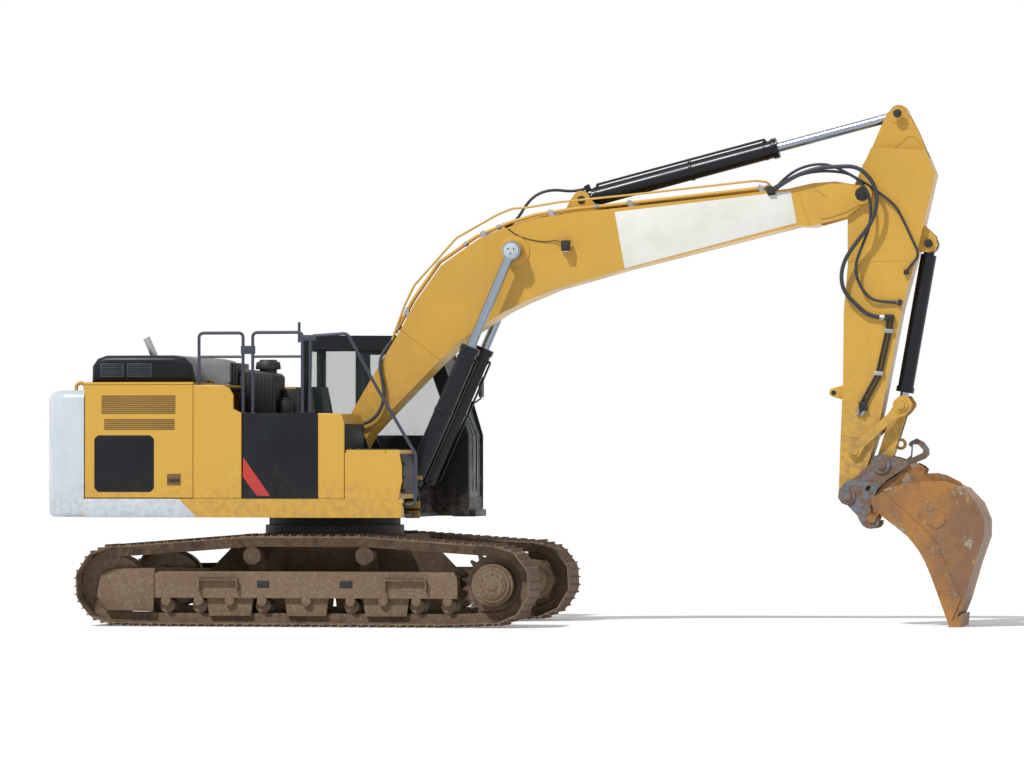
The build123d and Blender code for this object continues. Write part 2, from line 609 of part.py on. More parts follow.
# ---------------------------------------------------------------- cab
CAB_Y = (560.0, 1495.0)
CAB_SKIN = 45.0
CAB_FLOOR = DECK_Z + DECK_PLATE + SEAT_GAP
CAB_SIDE = [(-500, CAB_FLOOR), (-500, 3040), (-430, 3120), (900, 3110), (1020, 3010),
            (1240, 2400), (1360, 2030), (1360, CAB_FLOOR)]
CAB_INSIDE = [(-455, CAB_FLOOR + 60), (-455, 3020), (-410, 3065), (875, 3060), (980, 2990),
              (1195, 2390), (1312, 2020), (1312, CAB_FLOOR + 60)]
CAB_DOOR = [(10, 1290), (10, 2990), (840, 2990), (905, 2930), (1110, 2350), (1110, 1290)]

CAB_HINGE = (12.0, CAB_Y[1] + 14.0)
CAB_HINGE_Z = (1420.0, 2700.0)

with BuildPart() as cab_frame:
    profile(CAB_SIDE, *CAB_Y)
    profile(CAB_INSIDE, CAB_Y[0] + CAB_SKIN, CAB_Y[1] - CAB_SKIN, mode=Mode.SUBTRACT)
    # door opening and rear quarter window on the left
    profile(CAB_DOOR, CAB_Y[1] - CAB_SKIN - 1, CAB_Y[1] + 1, mode=Mode.SUBTRACT)
    block(-410, -70, CAB_Y[1] - CAB_SKIN - 1, CAB_Y[1] + 1, 2150, 2960, mode=Mode.SUBTRACT)
    # right window
    profile([(-400, 2000), (-400, 2960), (820, 2960), (880, 2910), (1180, 2070), (1180, 2000)],
            CAB_Y[0] - 1, CAB_Y[0] + CAB_SKIN + 1, mode=Mode.SUBTRACT)
    # windscreen and lower front glass
    profile([(1100, 1350), (950, 2960), (1500, 2960), (1500, 1350)], CAB_Y[0] + 80, CAB_Y[1] - 80,
            mode=Mode.SUBTRACT)
    block(-520, -440, CAB_Y[0] + 90, CAB_Y[1] - 90, 2250, 2950, mode=Mode.SUBTRACT)
    block(-100, 600, CAB_Y[0] + 170, CAB_Y[1] - 170, 3000, 3150, mode=Mode.SUBTRACT)
    # hinge pins of the door, each on a lug of the rear pillar
    for z0 in CAB_HINGE_Z:
        block(-60, CAB_HINGE[0], CAB_Y[1] - 2, CAB_HINGE[1] + 12, z0, z0 + 30)
        upright_pin(*CAB_HINGE, 12, z0, z0 + 30)
        upright_pin(*CAB_HINGE, 8, z0 + 29, z0 + 80)
save(cab_frame, "cab_frame")

with BuildPart() as cab_door:
    door_in = [(16, 1296), (16, 2984), (836, 2984), (899, 2926), (1104, 2348), (1104, 1296)]
    profile(door_in, CAB_Y[1] - 38, CAB_Y[1] + 2)
    profile([(90, 2030), (90, 2920), (810, 2920), (850, 2880), (1030, 2330), (1030, 2030)],
            CAB_Y[1] - 40, CAB_Y[1] + 4, mode=Mode.SUBTRACT)
    for z0 in CAB_HINGE_Z:
        z1, z2 = z0 + 30 + SEAT_GAP, z0 + 76
        block(CAB_HINGE[0], 90, CAB_Y[1] + 1, CAB_HINGE[1] + 6, z1, z2)
        upright_pin(*CAB_HINGE, 14, z1, z2)
        upright_pin(*CAB_HINGE, 8 + PIN_GAP, z1 - 1, z2 + 1, mode=Mode.SUBTRACT)
save(cab_door, "cab_door")

with BuildPart() as seat:
    block(-250, 260, 790, 1270, 1700, 1830)
    profile([(-330, 1760), (-430, 2560), (-340, 2560), (-200, 1832), (-200, 1760)], 800, 1260)
    block(-200, 200, 850, 1210, CAB_FLOOR + 60 + SEAT_GAP, 1701)
save(seat, "seat")

with BuildPart() as consoles:
    for y0, y1 in ((640, 770), (1290, 1420)):
        block(-200, 330, y0, y1, CAB_FLOOR + 60 + SEAT_GAP, 1900)
save(consoles, "consoles")


# ---------------------------------------------------------------- hydraulic cylinders
def barrel(p, q, y, c):
    """Cylinder barrel from its foot eye at p towards q."""
    gland = hypot(q[0] - p[0], q[1] - p[1]) - c["show"] - c["eye"]
    with BuildPart() as tube:
        shaft(p, q, y, c["half"] - 2, c["eye"] - 12, c["eye"] + 20)
        shaft(p, q, y, c["barrel"], c["eye"] + 18, gland)
        shaft(p, q, y, c["barrel"] + 12, gland - 60, gland - 1)
        shaft(p, q, y, c["bore"], c["eye"] + 30, gland - 55, mode=Mode.SUBTRACT)
        shaft(p, q, y, c["rod"] + PIN_GAP, gland - 56, gland + 1, mode=Mode.SUBTRACT)
        disc(p[0], p[1], c["eye"], y - c["half"], y + c["half"])
        disc(p[0], p[1], PIN_R + PIN_GAP, y - c["half"] - 1, y + c["half"] + 1, mode=Mode.SUBTRACT)
    return tube


def rod(p, q, y, c, pin_half):
    """Piston rod whose eye and pin sit at q, on the line from p."""
    reach = hypot(q[0] - p[0], q[1] - p[1])
    with BuildPart() as bar:
        shaft(p, q, y, c["rod"], reach - c["rod_len"], reach - c["eye"] + 12)
        shaft(p, q, y, c["bore"] - PIN_GAP, reach - c["rod_len"], reach - c["rod_len"] + 60)
        disc(q[0], q[1], c["eye"], y - c["half"], y + c["half"])
        disc(q[0], q[1], PIN_R, y - pin_half, y + pin_half)
    return bar


for s, side in ((-1, "right"), (1, "left")):
    yc = s * BOOM_CYL_Y
    save(barrel(BOOM_CYL_FOOT, BOOM_EYE, yc, BOOM_CYL), f"boom_cylinder_barrel_{side}")
    save(rod(BOOM_CYL_FOOT, BOOM_EYE, yc, BOOM_CYL, 55), f"boom_cylinder_rod_{side}")

# ---------------------------------------------------------------- boom
BOOM_OUTLINE = [   # along the boom, across it
    (-60, 120), (142, 264), (484, 494), (1040, 860), (1304, 1052), (1725, 1285), (2208, 1360),
    (2582, 1340), (2895, 1290), (3310, 1161), (3737, 1004), (5466, 395), (5734, 332),
    (5955, 243), (6176, 89), (6225, -40), (6150, -95), (5910, -142), (5513, -70), (5381, 0),
    (3514, 387), (2746, 522), (2387, 542), (2139, 541), (1620, 474), (1190, 340), (599, 125),
    (242, -10), (80, -130), (-90, -110)]

with BuildPart() as boom:
    with BuildSketch(side_plane(BOOM_HALF, BOOM_FOOT, BOOM_ANGLE)):
        with BuildLine():
            Polyline(*BOOM_OUTLINE, close=True)
        make_face()
    extrude(amount=2 * BOOM_HALF)
    # inside of the box section
    inner = [(420, 330), (1290, 1000), (1740, 1250), (2190, 1325), (2560, 1300), (2880, 1250),
             (3300, 1122), (5450, 355), (5566, 330), (5566, -20), (5400, 40), (3520, 427),
             (2750, 562), (2140, 581), (1610, 514), (1180, 380), (600, 170)]
    profile(inner, -BOOM_HALF + BOOM_PLATE, BOOM_HALF - BOOM_PLATE, BOOM_FOOT, BOOM_ANGLE,
            mode=Mode.SUBTRACT)
    # foot boss between the main plates, open in the middle
    disc(*BOOM_FOOT, 150, -FRAME_IN + RUN_GAP, FRAME_IN - RUN_GAP)
    disc(*BOOM_FOOT, 60 + PIN_GAP, -FRAME_IN, FRAME_IN, mode=Mode.SUBTRACT)
    # nose: a fork for the stick
    disc(*BOOM_NOSE, 105, -BOOM_HALF - 20, BOOM_HALF + 20)
    nose_gap = STICK_HALF + RUN_GAP
    profile([(5600, -300), (5600, 500), (6400, 500), (6400, -300)], -nose_gap, nose_gap,
            BOOM_FOOT, BOOM_ANGLE, mode=Mode.SUBTRACT)
    disc(*BOOM_NOSE, 55, -nose_gap - 40, -nose_gap + 90)
    disc(*BOOM_NOSE, 55, nose_gap - 90, nose_gap + 40)
    # bosses for the boom cylinders
    disc(*BOOM_EYE, 110, -BOOM_CYL_Y + BOOM_CYL["half"] + RUN_GAP + 4,
         BOOM_CYL_Y - BOOM_CYL["half"] - RUN_GAP - 4)
    # ears for the foot of the stick cylinder
    lug = [(3100, 1180), (3290, 1330), (3392, 1376), (3450, 1345), (3460, 1180), (3520, 1020)]
    for s in (-1, 1):
        profile(lug, s * 72, s * 112, BOOM_FOOT, BOOM_ANGLE)
        disc(*STICK_FOOT, 96, s * 72, s * 120)
    disc(*STICK_FOOT, PIN_R, -125, 125)
save(boom, "boom")

# ---------------------------------------------------------------- stick and its cylinder
STICK_OUTLINE = [   # along the stick, in front of it
    (-870, 200), (-950, 300), (-930, 400), (-803, 480), (-682, 549), (-248, 756), (-150, 735),
    (698, 588), (1177, 478), (1862, 379), (2562, 277), (STICK_LENGTH - 302, 186),
    (STICK_LENGTH + 28, 95), (STICK_LENGTH + 88, 0), (STICK_LENGTH + 28, -95),
    (STICK_LENGTH - 73, -98), (2542, -108), (2010, -111), (1247, -141), (771, -123),
    (256, -149), (0, -130), (-265, -31), (-371, 16)]
with BuildPart() as stick:
    with BuildSketch(side_plane(STICK_HALF, BOOM_NOSE, STICK_ANGLE)):
        with BuildLine():
            Polyline(*STICK_OUTLINE, close=True)
        make_face()
    extrude(amount=2 * STICK_HALF)
    inner = [(-180, 60), (-150, 670), (690, 530), (1170, 430), (2500, 240), (2560, -70),
             (1240, -100), (760, -85), (240, -90), (140, 60)]
    profile(inner, -STICK_HALF + STICK_PLATE, STICK_HALF - STICK_PLATE, BOOM_NOSE, STICK_ANGLE,
            mode=Mode.SUBTRACT)
    disc(*BOOM_NOSE, 120, -STICK_HALF, STICK_HALF)
    disc(*BOOM_NOSE, 55 + PIN_GAP, -STICK_HALF - 1, STICK_HALF + 1, mode=Mode.SUBTRACT)
    # top fork for the rod of the stick cylinder
    fork = STICK_CYL["half"] + RUN_GAP
    profile([(-1100, -200), (-1100, 900), (-420, 900), (-420, -200)], -fork - 8, fork + 8,
            BOOM_NOSE, STICK_ANGLE, mode=Mode.SUBTRACT)
    for s in (-1, 1):
        profile([(-1100, -200), (-1100, 900), (-500, 900), (-500, -200)], s * 116, s * 300,
                BOOM_NOSE, STICK_ANGLE, mode=Mode.SUBTRACT)
        disc(*STICK_TOP, 100, s * (fork + 8), s * 125)
    # ears for the bucket cylinder
    lug = [(250, 600), (400, 780), (497, 815), (560, 790), (582, 727), (572, 640), (600, 540)]
    for s in (-1, 1):
        profile(lug, s * 72, s * 110, BOOM_NOSE, STICK_ANGLE)
    disc(*BUCKET_FOOT, PIN_R, -120, 120)
    # end boss and rocker pin
    disc(*BUCKET_PIN, 100, -STICK_HALF, STICK_HALF)
    disc(*BUCKET_PIN, PIN_R + PIN_GAP, -STICK_HALF - 1, STICK_HALF + 1, mode=Mode.SUBTRACT)
    disc(*ROCKER_PIN, PIN_R, -STICK_HALF - 60, STICK_HALF + 60)
save(stick, "stick")

save(barrel(STICK_FOOT, STICK_TOP, 0, STICK_CYL), "stick_cylinder_barrel")
save(rod(STICK_FOOT, STICK_TOP, 0, STICK_CYL, 64), "stick_cylinder_rod")
save(barrel(BUCKET_FOOT, LINK_TOP, 0, BUCKET_CYL), "bucket_cylinder_barrel")
save(rod(BUCKET_FOOT, LINK_TOP, 0, BUCKET_CYL, 64), "bucket_cylinder_rod")

# ---------------------------------------------------------------- bucket linkage
LINK_IN, LINK_OUT = BUCKET_CYL["half"] + RUN_GAP, 120.0
ROCKER_IN = STICK_HALF + RUN_GAP + 4
ROCKER_OUT = ROCKER_IN + 36


def strap(p, q, r0, r1, y0, y1):
    """Flat link with round ends about p and q."""
    a = degrees(atan2(q[1] - p[1], q[0] - p[0]))
    length = hypot(q[0] - p[0], q[1] - p[1])
    disc(p[0], p[1], r0, y0, y1)
    disc(q[0], q[1], r1, y0, y1)
    profile([(0, -r0 * 0.98), (length, -r1 * 0.98), (length, r1 * 0.98), (0, r0 * 0.98)],
            y0, y1, p, a)


with BuildPart() as rocker_arms:
    arm = from_pin((432, 864), (498, 963), (539, 1045), (580, 1062), (637, 1061), (692, 979),
                   (687, 946), (646, 889), (604, 847), (498, 806), (185, 518), (127, 420),
                   (53, 400), (10, 450), (37, 540))
    for s in (-1, 1):
        profile(arm, s * ROCKER_IN, s * ROCKER_OUT)
        disc(*ROCKER_PIN, PIN_R + PIN_GAP, s * (ROCKER_IN - 1), s * (ROCKER_OUT + 1),
             mode=Mode.SUBTRACT)
        disc(*LINK_TOP, 80, s * (LINK_OUT + RUN_GAP), s * (ROCKER_OUT + 12))
        disc(*LINK_TOP, 44, s * ROCKER_OUT, s * (ROCKER_OUT + 34))
save(rocker_arms, "rocker_arms")

with BuildPart() as h_link:
    for s in (-1, 1):
        strap(COUPLER_TOP, LINK_TOP, 80, 80, s * LINK_IN, s * LINK_OUT)
    web_a = degrees(atan2(LINK_TOP[1] - COUPLER_TOP[1], LINK_TOP[0] - COUPLER_TOP[0]))
    profile([(120, -78), (330, -78), (330, 60), (120, 60)], -LINK_IN, LINK_IN, COUPLER_TOP, web_a)
    disc(*COUPLER_TOP, 80, -LINK_OUT, LINK_OUT)
    disc(*COUPLER_TOP, PIN_R + PIN_GAP, -LINK_OUT - 1, LINK_OUT + 1, mode=Mode.SUBTRACT)
    # lifting ring on the front of the web
    (ring,) = from_pin((547, 548))
    disc(*ring, 62, -18, 18)
    disc(*ring, 31, -19, 19, mode=Mode.SUBTRACT)
save(h_link, "h_link")

# ---------------------------------------------------------------- quick coupler and bucket
COUPLER_IN, COUPLER_PLATE = STICK_HALF + RUN_GAP + 4, 34.0
HOOK_PIN_R = 46.0
COUPLER_SIDE = from_pin(
    (-100, -20), (-90, 60), (-34, 126), (50, 175), (106, 211), (247, 344), (275, 414), (345, 442),
    (429, 428), (527, 407), (640, 366), (662, 333), (583, 274), (415, 161), (317, 63), (275, -35),
    (240, -120), (262, -160), (345, -200), (339, -271), (334, -309), (310, -337), (261, -352),
    (212, -347), (169, -323), (134, -274), (106, -211), (0, -100), (-60, -80))
with BuildPart() as quick_coupler:
    for s in (-1, 1):
        profile(COUPLER_SIDE, s * COUPLER_IN, s * (COUPLER_IN + COUPLER_PLATE))
        # bosses with the pin heads
        for p, r in ((BUCKET_PIN, 88), (COUPLER_TOP, 96)):
            disc(*p, r, s * COUPLER_IN, s * (COUPLER_IN + COUPLER_PLATE + 22))
            disc(*p, 46, s * COUPLER_IN, s * (COUPLER_IN + COUPLER_PLATE + 48))
    # jaws of the front hook, open towards the bucket
    width = COUPLER_IN + COUPLER_PLATE + 1
    disc(*HOOK_FRONT, HOOK_PIN_R + SEAT_GAP, -width, width, mode=Mode.SUBTRACT)
    profile(from_pin((263, -287), (263, -195), (250, -140), (400, -140), (400, -262), (316, -262)),
            -width, width, mode=Mode.SUBTRACT)
    with BuildSketch(side_plane(width)) as slots:
        with Locations(from_pin((223, 80))[0]):
            SlotOverall(66, 44, rotation=60)
    extrude(slots.sketch, amount=2 * width, mode=Mode.SUBTRACT)
    disc(*BUCKET_PIN, PIN_R, -COUPLER_IN, COUPLER_IN)
    disc(*COUPLER_TOP, PIN_R, -COUPLER_IN, COUPLER_IN)
    # cross beam, rear latch on the bucket's pin and lifting hook
    profile(from_pin((478, 262), (560, 318), (600, 350), (590, 375), (530, 395), (478, 400)),
            -COUPLER_IN - 1, COUPLER_IN + 1)
    profile(from_pin((480, 300), (480, 190), (545, 140), (620, 130), (680, 170), (690, 240),
                     (700, 345), (590, 360)), -120, 120)
    disc(*HOOK_REAR, HOOK_PIN_R + SEAT_GAP, -121, 121, mode=Mode.SUBTRACT)
    profile(from_pin((583, 352), (583, 365), (654, 428), (661, 512), (628, 540), (647, 575),
                     (717, 608), (794, 568), (847, 498), (850, 435), (808, 393), (724, 358),
                     (698, 330)), -25, 25)
    profile(from_pin((675, 543), (731, 543), (787, 484), (780, 456), (664, 400), (672, 484)),
            -26, 26, mode=Mode.SUBTRACT)
save(quick_coupler, "quick_coupler")

# side-view outlines of the bucket, from the bucket pin
MOUTH = [(282, -7), (289, -91), (331, -161), (668, -428), (780, -568), (850, -695), (920, -863),
         (1103, -1368)]
WELD = [(415, 35), (583, -119), (892, -400), (990, -540), (1089, -765), (1215, -1060)]
SHELL_IN = [(415, 35), (527, 70), (808, 126), (1033, 126), (1229, 56), (1369, -91), (1440, -260),
            (1440, -428), (1341, -709), (1229, -1102), (1125, -1368)]
SHELL_OUT = [(1150, -1372), (1260, -1100), (1372, -716), (1473, -432), (1474, -254), (1396, -72),
             (1244, 84), (1040, 158), (802, 158), (517, 101), (405, 66)]
with BuildPart() as bucket:
    profile(from_pin(*SHELL_IN, *SHELL_OUT), -BUCKET_HALF, BUCKET_HALF)
    side = from_pin(*MOUTH, *reversed(SHELL_IN))
    cutter = from_pin(*MOUTH, (1225, -1090), *reversed(WELD))
    for s in (-1, 1):
        profile(side, s * (BUCKET_HALF - BUCKET_PLATE), s * BUCKET_HALF)
        profile(cutter, s * (BUCKET_HALF - 1), s * (BUCKET_HALF + 16))
        disc(*from_pin((969, -239))[0], 95, s * (BUCKET_HALF - 1), s * (BUCKET_HALF + 10))
    # lip between the side plates and wear straps over the back
    profile(from_pin((1096, -1380), (1100, -1330), (1160, -1300), (1235, -1240), (1222, -1382)),
            -BUCKET_HALF - 16, BUCKET_HALF + 16)
    # ears with the two pins that the coupler holds
    ear_in, ear_out = COUPLER_IN - RUN_GAP - 38, COUPLER_IN - RUN_GAP
    ear = from_pin((190, -190), (205, -147), (289, -7), (387, 133), (527, 218), (640, 327), (731, 347),
                   (794, 316), (829, 281), (812, 236), (920, 239), (1019, 218), (1159, 147),
                   (1243, 63), (1299, 21), (1397, -91), (1369, -91), (1229, 56), (1033, 126),
                   (808, 126), (527, 70), (415, 35), (300, -20), (330, -200), (300, -300), (215, -290))
    for s in (-1, 1):
        profile(ear, s * ear_in, s * ear_out)
        disc(*HOOK_REAR, 62, s * ear_in, s * (ear_out + 4))
    disc(*HOOK_REAR, HOOK_PIN_R, -ear_out, ear_out)
    disc(*HOOK_FRONT, HOOK_PIN_R, -COUPLER_IN - COUPLER_PLATE - 16, COUPLER_IN + COUPLER_PLATE + 16)
    # beam along the top of the mouth
    profile(from_pin((305, -20), (415, 58), (527, 92), (527, 70), (440, 10), (335, -60)),
            -BUCKET_HALF + 1, BUCKET_HALF - 1)
save(bucket, "bucket")

# ---------------------------------------------------------------- write the pieces
TIP_X = max(v.X for v in bucket.part.vertices())
FRAME = Location((-(TIP_X - TAIL_R) / 2, 0, 0))
for piece, name in SAVED:
    moved = piece.part.moved(FRAME)
    moved.label = name
    export_step(moved, f"parts/{name}.step")
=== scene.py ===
"""Crawler excavator: finishes, small fittings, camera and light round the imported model."""
import json
import math

import bmesh
import bpy
from mathutils import Matrix, Vector
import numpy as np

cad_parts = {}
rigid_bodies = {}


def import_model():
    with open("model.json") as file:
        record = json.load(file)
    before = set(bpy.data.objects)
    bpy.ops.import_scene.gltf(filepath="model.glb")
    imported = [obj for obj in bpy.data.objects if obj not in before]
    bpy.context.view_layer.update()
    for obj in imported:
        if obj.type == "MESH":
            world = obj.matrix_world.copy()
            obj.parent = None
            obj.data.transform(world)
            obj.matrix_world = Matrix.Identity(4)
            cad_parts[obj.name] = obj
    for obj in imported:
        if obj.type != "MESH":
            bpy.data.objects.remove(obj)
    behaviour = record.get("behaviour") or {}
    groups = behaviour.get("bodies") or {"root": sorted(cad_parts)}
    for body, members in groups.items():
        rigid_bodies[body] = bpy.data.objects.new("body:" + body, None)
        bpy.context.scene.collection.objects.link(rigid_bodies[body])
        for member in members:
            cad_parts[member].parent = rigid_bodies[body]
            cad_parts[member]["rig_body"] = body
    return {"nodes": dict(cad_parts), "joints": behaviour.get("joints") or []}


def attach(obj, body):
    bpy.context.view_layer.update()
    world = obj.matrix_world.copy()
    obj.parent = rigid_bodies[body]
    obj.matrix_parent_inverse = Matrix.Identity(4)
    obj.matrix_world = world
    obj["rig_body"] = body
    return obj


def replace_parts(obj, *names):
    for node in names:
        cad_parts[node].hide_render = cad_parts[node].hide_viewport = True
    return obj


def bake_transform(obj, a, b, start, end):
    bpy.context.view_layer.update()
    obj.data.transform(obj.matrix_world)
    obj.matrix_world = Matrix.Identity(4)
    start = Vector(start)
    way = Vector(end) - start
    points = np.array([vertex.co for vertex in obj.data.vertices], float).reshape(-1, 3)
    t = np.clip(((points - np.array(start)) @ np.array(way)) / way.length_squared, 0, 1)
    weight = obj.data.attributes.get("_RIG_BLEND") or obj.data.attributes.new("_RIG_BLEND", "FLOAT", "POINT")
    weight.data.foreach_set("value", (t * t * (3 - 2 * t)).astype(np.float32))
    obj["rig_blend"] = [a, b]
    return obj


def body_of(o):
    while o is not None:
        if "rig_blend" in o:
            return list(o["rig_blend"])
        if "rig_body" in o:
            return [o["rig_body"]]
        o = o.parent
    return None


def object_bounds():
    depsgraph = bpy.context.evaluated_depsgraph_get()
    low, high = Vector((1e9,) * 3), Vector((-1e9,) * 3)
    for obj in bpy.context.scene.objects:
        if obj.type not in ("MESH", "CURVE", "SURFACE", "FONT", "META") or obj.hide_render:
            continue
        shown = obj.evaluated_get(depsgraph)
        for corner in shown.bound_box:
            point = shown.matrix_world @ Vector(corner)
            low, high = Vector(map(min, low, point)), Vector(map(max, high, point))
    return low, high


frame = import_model()
cad_low, cad_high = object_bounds()
nodes = frame["nodes"]

# Places are given in millimetres from the swing axis, X forward, Y left, Z up from the ground.
SWING = next(Vector(j["pos_m"]) for j in frame["joints"] if j["name"] == "swing")


def at(x, y, z):
    """Point of the row frame from a place in millimetres."""
    return Vector((SWING.x + x / 1000, y / 1000, z / 1000))


# ---------------------------------------------------------------- camera
CAMERA_TURN = math.radians(9.9)      # the optical axis from square-on to the right side
CAMERA_PITCH = math.radians(0.735)
CAMERA_DISTANCE, CAMERA_SIDE, CAMERA_HEIGHT = 60000, -1914, 1810
SENSOR_WIDTH, LENS, CLIP_END = 36, 195.0, 500
forward = Vector((-math.sin(CAMERA_TURN), math.cos(CAMERA_TURN)))
rightward = Vector((math.cos(CAMERA_TURN), math.sin(CAMERA_TURN)))
stand = -CAMERA_DISTANCE * forward - CAMERA_SIDE * rightward
camera = bpy.data.objects.new("camera", bpy.data.cameras.new("camera"))
bpy.context.collection.objects.link(camera)
camera.location = at(stand.x, stand.y, CAMERA_HEIGHT)
camera.rotation_euler = (math.pi / 2 + CAMERA_PITCH, 0, CAMERA_TURN)
camera.data.sensor_width, camera.data.lens = SENSOR_WIDTH, LENS
camera.data.clip_end = CLIP_END
bpy.context.scene.camera = camera
bpy.context.scene.view_settings.view_transform = "Standard"


# ---------------------------------------------------------------- axes of the bodies
pivot = {j["name"]: Vector(j["pos_m"]) for j in frame["joints"] if "pos_m" in j}


def axes(origin, angle=0.0):
    """Millimetres on a body, turned about the level axis across the machine, to the row frame."""
    return (Matrix.Translation(origin) @ Matrix.Rotation(math.radians(angle), 4, "Y")
            @ Matrix.Scale(0.001, 4))


MACHINE = axes(at(0, 0, 0))
BOOM = axes(pivot["boom_lift"], -25.4)          # X from foot pin to nose pin, Z up from it
STICK = axes(pivot["stick_crowd"], 92.94)       # X from nose pin to bucket pin, Z to the front
BOOM_HALF, STICK_HALF, HOUSE_HALF = 250, 195, 1495      # half widths across the machine
SIDES = ((-1, "right"), (1, "left"))


# ---------------------------------------------------------------- hoses
def spline_mesh(route, bore=0.0):
    """Mesh of a smooth line through a route in metres, or of a round tube about it."""
    line = bpy.data.curves.new("route", "CURVE")
    line.dimensions = "3D"
    line.resolution_u, line.bevel_depth, line.bevel_resolution = 8, bore, 3
    line.use_fill_caps = True
    spline = line.splines.new("NURBS")
    spline.points.add(len(route) - 1)
    for control, spot in zip(spline.points, route):
        control.co = (*spot, 1)
    spline.order_u, spline.use_endpoint_u = 3, True
    holder = bpy.data.objects.new("route", line)
    bpy.context.collection.objects.link(holder)
    mesh = bpy.data.meshes.new_from_object(holder)
    bpy.data.objects.remove(holder)
    return mesh


def on_boom(x, z, y):
    return BOOM @ Vector((x, y, z))


def on_stick(x, z, y):
    return STICK @ Vector((x, y, z))


def on_machine(x, z, y):
    return MACHINE @ Vector((x, y, z))


BULKHEAD_X, TEE_X, PORT_X = 5330, 2580, 3470    # on the boom: two blocks, cylinder's port
INLET, SMALL_INLET = (1296, 300), (1130, 430)   # on the stick
HOSE_BLOCK_X = 100                              # on the house
# name: diameter, the two bodies, the two ends of the stretch that bends, and the route
HOSES = {
    "nose_hose_large": (0.045, "boom", "stick",
                        (on_boom(6045, 370, -345), on_stick(1175, -3, -268)), [
        on_boom(BULKHEAD_X, 452, -274), on_boom(5490, 472, -318), on_boom(5680, 474, -345),
        on_boom(5870, 440, -345), on_boom(6045, 370, -345), on_machine(5700, 4868, -345),
        on_machine(5835, 4765, -345), on_machine(5920, 4612, -345), on_machine(5922, 4435, -345),
        on_machine(5850, 4245, -342), on_machine(5700, 4062, -335), on_machine(5578, 3888, -322),
        on_machine(5530, 3712, -306), on_machine(5562, 3540, -290), on_stick(1175, -3, -268),
        on_stick(1262, 98, -244), on_stick(INLET[0], 206, -226), on_stick(*INLET, -221)]),
    "nose_hose_small": (0.032, "boom", "stick",
                        (on_boom(6005, 335, -298), on_stick(1125, 190, -238)), [
        on_boom(BULKHEAD_X, 466, -222), on_boom(5490, 486, -254), on_boom(5680, 468, -278),
        on_boom(5850, 415, -290), on_boom(6005, 335, -298), on_machine(5635, 4790, -300),
        on_machine(5755, 4695, -300), on_machine(5832, 4560, -300), on_machine(5858, 4400, -300),
        on_machine(5832, 4200, -300), on_machine(5745, 3995, -297), on_machine(5680, 3815, -290),
        on_machine(5712, 3640, -276), on_machine(5800, 3505, -258), on_stick(1125, 190, -238),
        on_stick(SMALL_INLET[0], 310, -222), on_stick(*SMALL_INLET, -220)]),
    "nose_hose_upper": (0.030, "boom", "stick",
                        (on_boom(6030, 400, -225), on_stick(300, 470, -222)), [
        on_boom(BULKHEAD_X, 466, -172), on_boom(5520, 545, -200), on_boom(5800, 530, -226),
        on_boom(6030, 400, -236), on_stick(60, 330, -240), on_stick(240, 440, -236),
        on_stick(470, 560, -232), on_stick(620, 640, -226), on_stick(720, 560, -222),
        on_stick(800, 505, -220)]),
    "stick_cylinder_hose": (0.032, "boom", "stick_cylinder_barrel",
                            (on_boom(3180, 1500, -70), on_boom(PORT_X, 1372, -40)), [
        on_boom(TEE_X, 1364, -125), on_boom(2685, 1392, -125), on_boom(2800, 1470, -118),
        on_boom(2920, 1530, -105), on_boom(3050, 1540, -90), on_boom(3180, 1500, -70),
        on_boom(3290, 1430, -48), on_boom(3385, 1390, -40), on_boom(PORT_X, 1372, -40)]),
    "boom_foot_hose": (0.038, "boom", "house",
                       (on_machine(563, 2890, -258), on_machine(475, 2226, -302)), [
        on_boom(960, 832, -222), on_boom(860, 772, -228), on_machine(563, 2890, -258),
        on_machine(547, 2765, -292), on_machine(582, 2620, -302), on_machine(606, 2462, -302),
        on_machine(575, 2318, -302), on_machine(490, 2196, -302), on_machine(368, 2142, -302),
        on_machine(240, 2135, -302), on_machine(HOSE_BLOCK_X, 2135, -302)]),
}
hoses = []
for name, (diameter, start, end, span, route) in HOSES.items():
    path = [v.co.copy() for v in spline_mesh(route).vertices]
    tube = bpy.data.objects.new(name, spline_mesh(route, diameter / 2))
    bpy.context.collection.objects.link(tube)
    for face in tube.data.polygons:
        face.use_smooth = True
    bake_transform(tube, start, end, *span)
    hoses.append(tube)


# ---------------------------------------------------------------- shader maths
def paint(red, green, blue):
    """Colour from 0-255 display values, as linear RGBA."""
    shades = (c / 255 for c in (red, green, blue))
    return (*(c / 12.92 if c <= 0.04045 else ((c + 0.055) / 1.055) ** 2.4 for c in shades), 1)


class Wire:
    """A node's output that takes part in sums and products."""

    def __init__(self, finish, socket):
        self.finish, self.socket = finish, socket

    def maths(self, operation, first, second=0.0):
        return self.finish.node("ShaderNodeMath", {"operation": operation}, {0: first, 1: second})

    def __add__(self, other):
        return self.maths("ADD", self, other)

    def __sub__(self, other):
        return self.maths("SUBTRACT", self, other)

    def __rsub__(self, other):
        return self.maths("SUBTRACT", other, self)

    def __mul__(self, other):
        return self.maths("MULTIPLY", self, other)

    __radd__, __rmul__ = __add__, __mul__


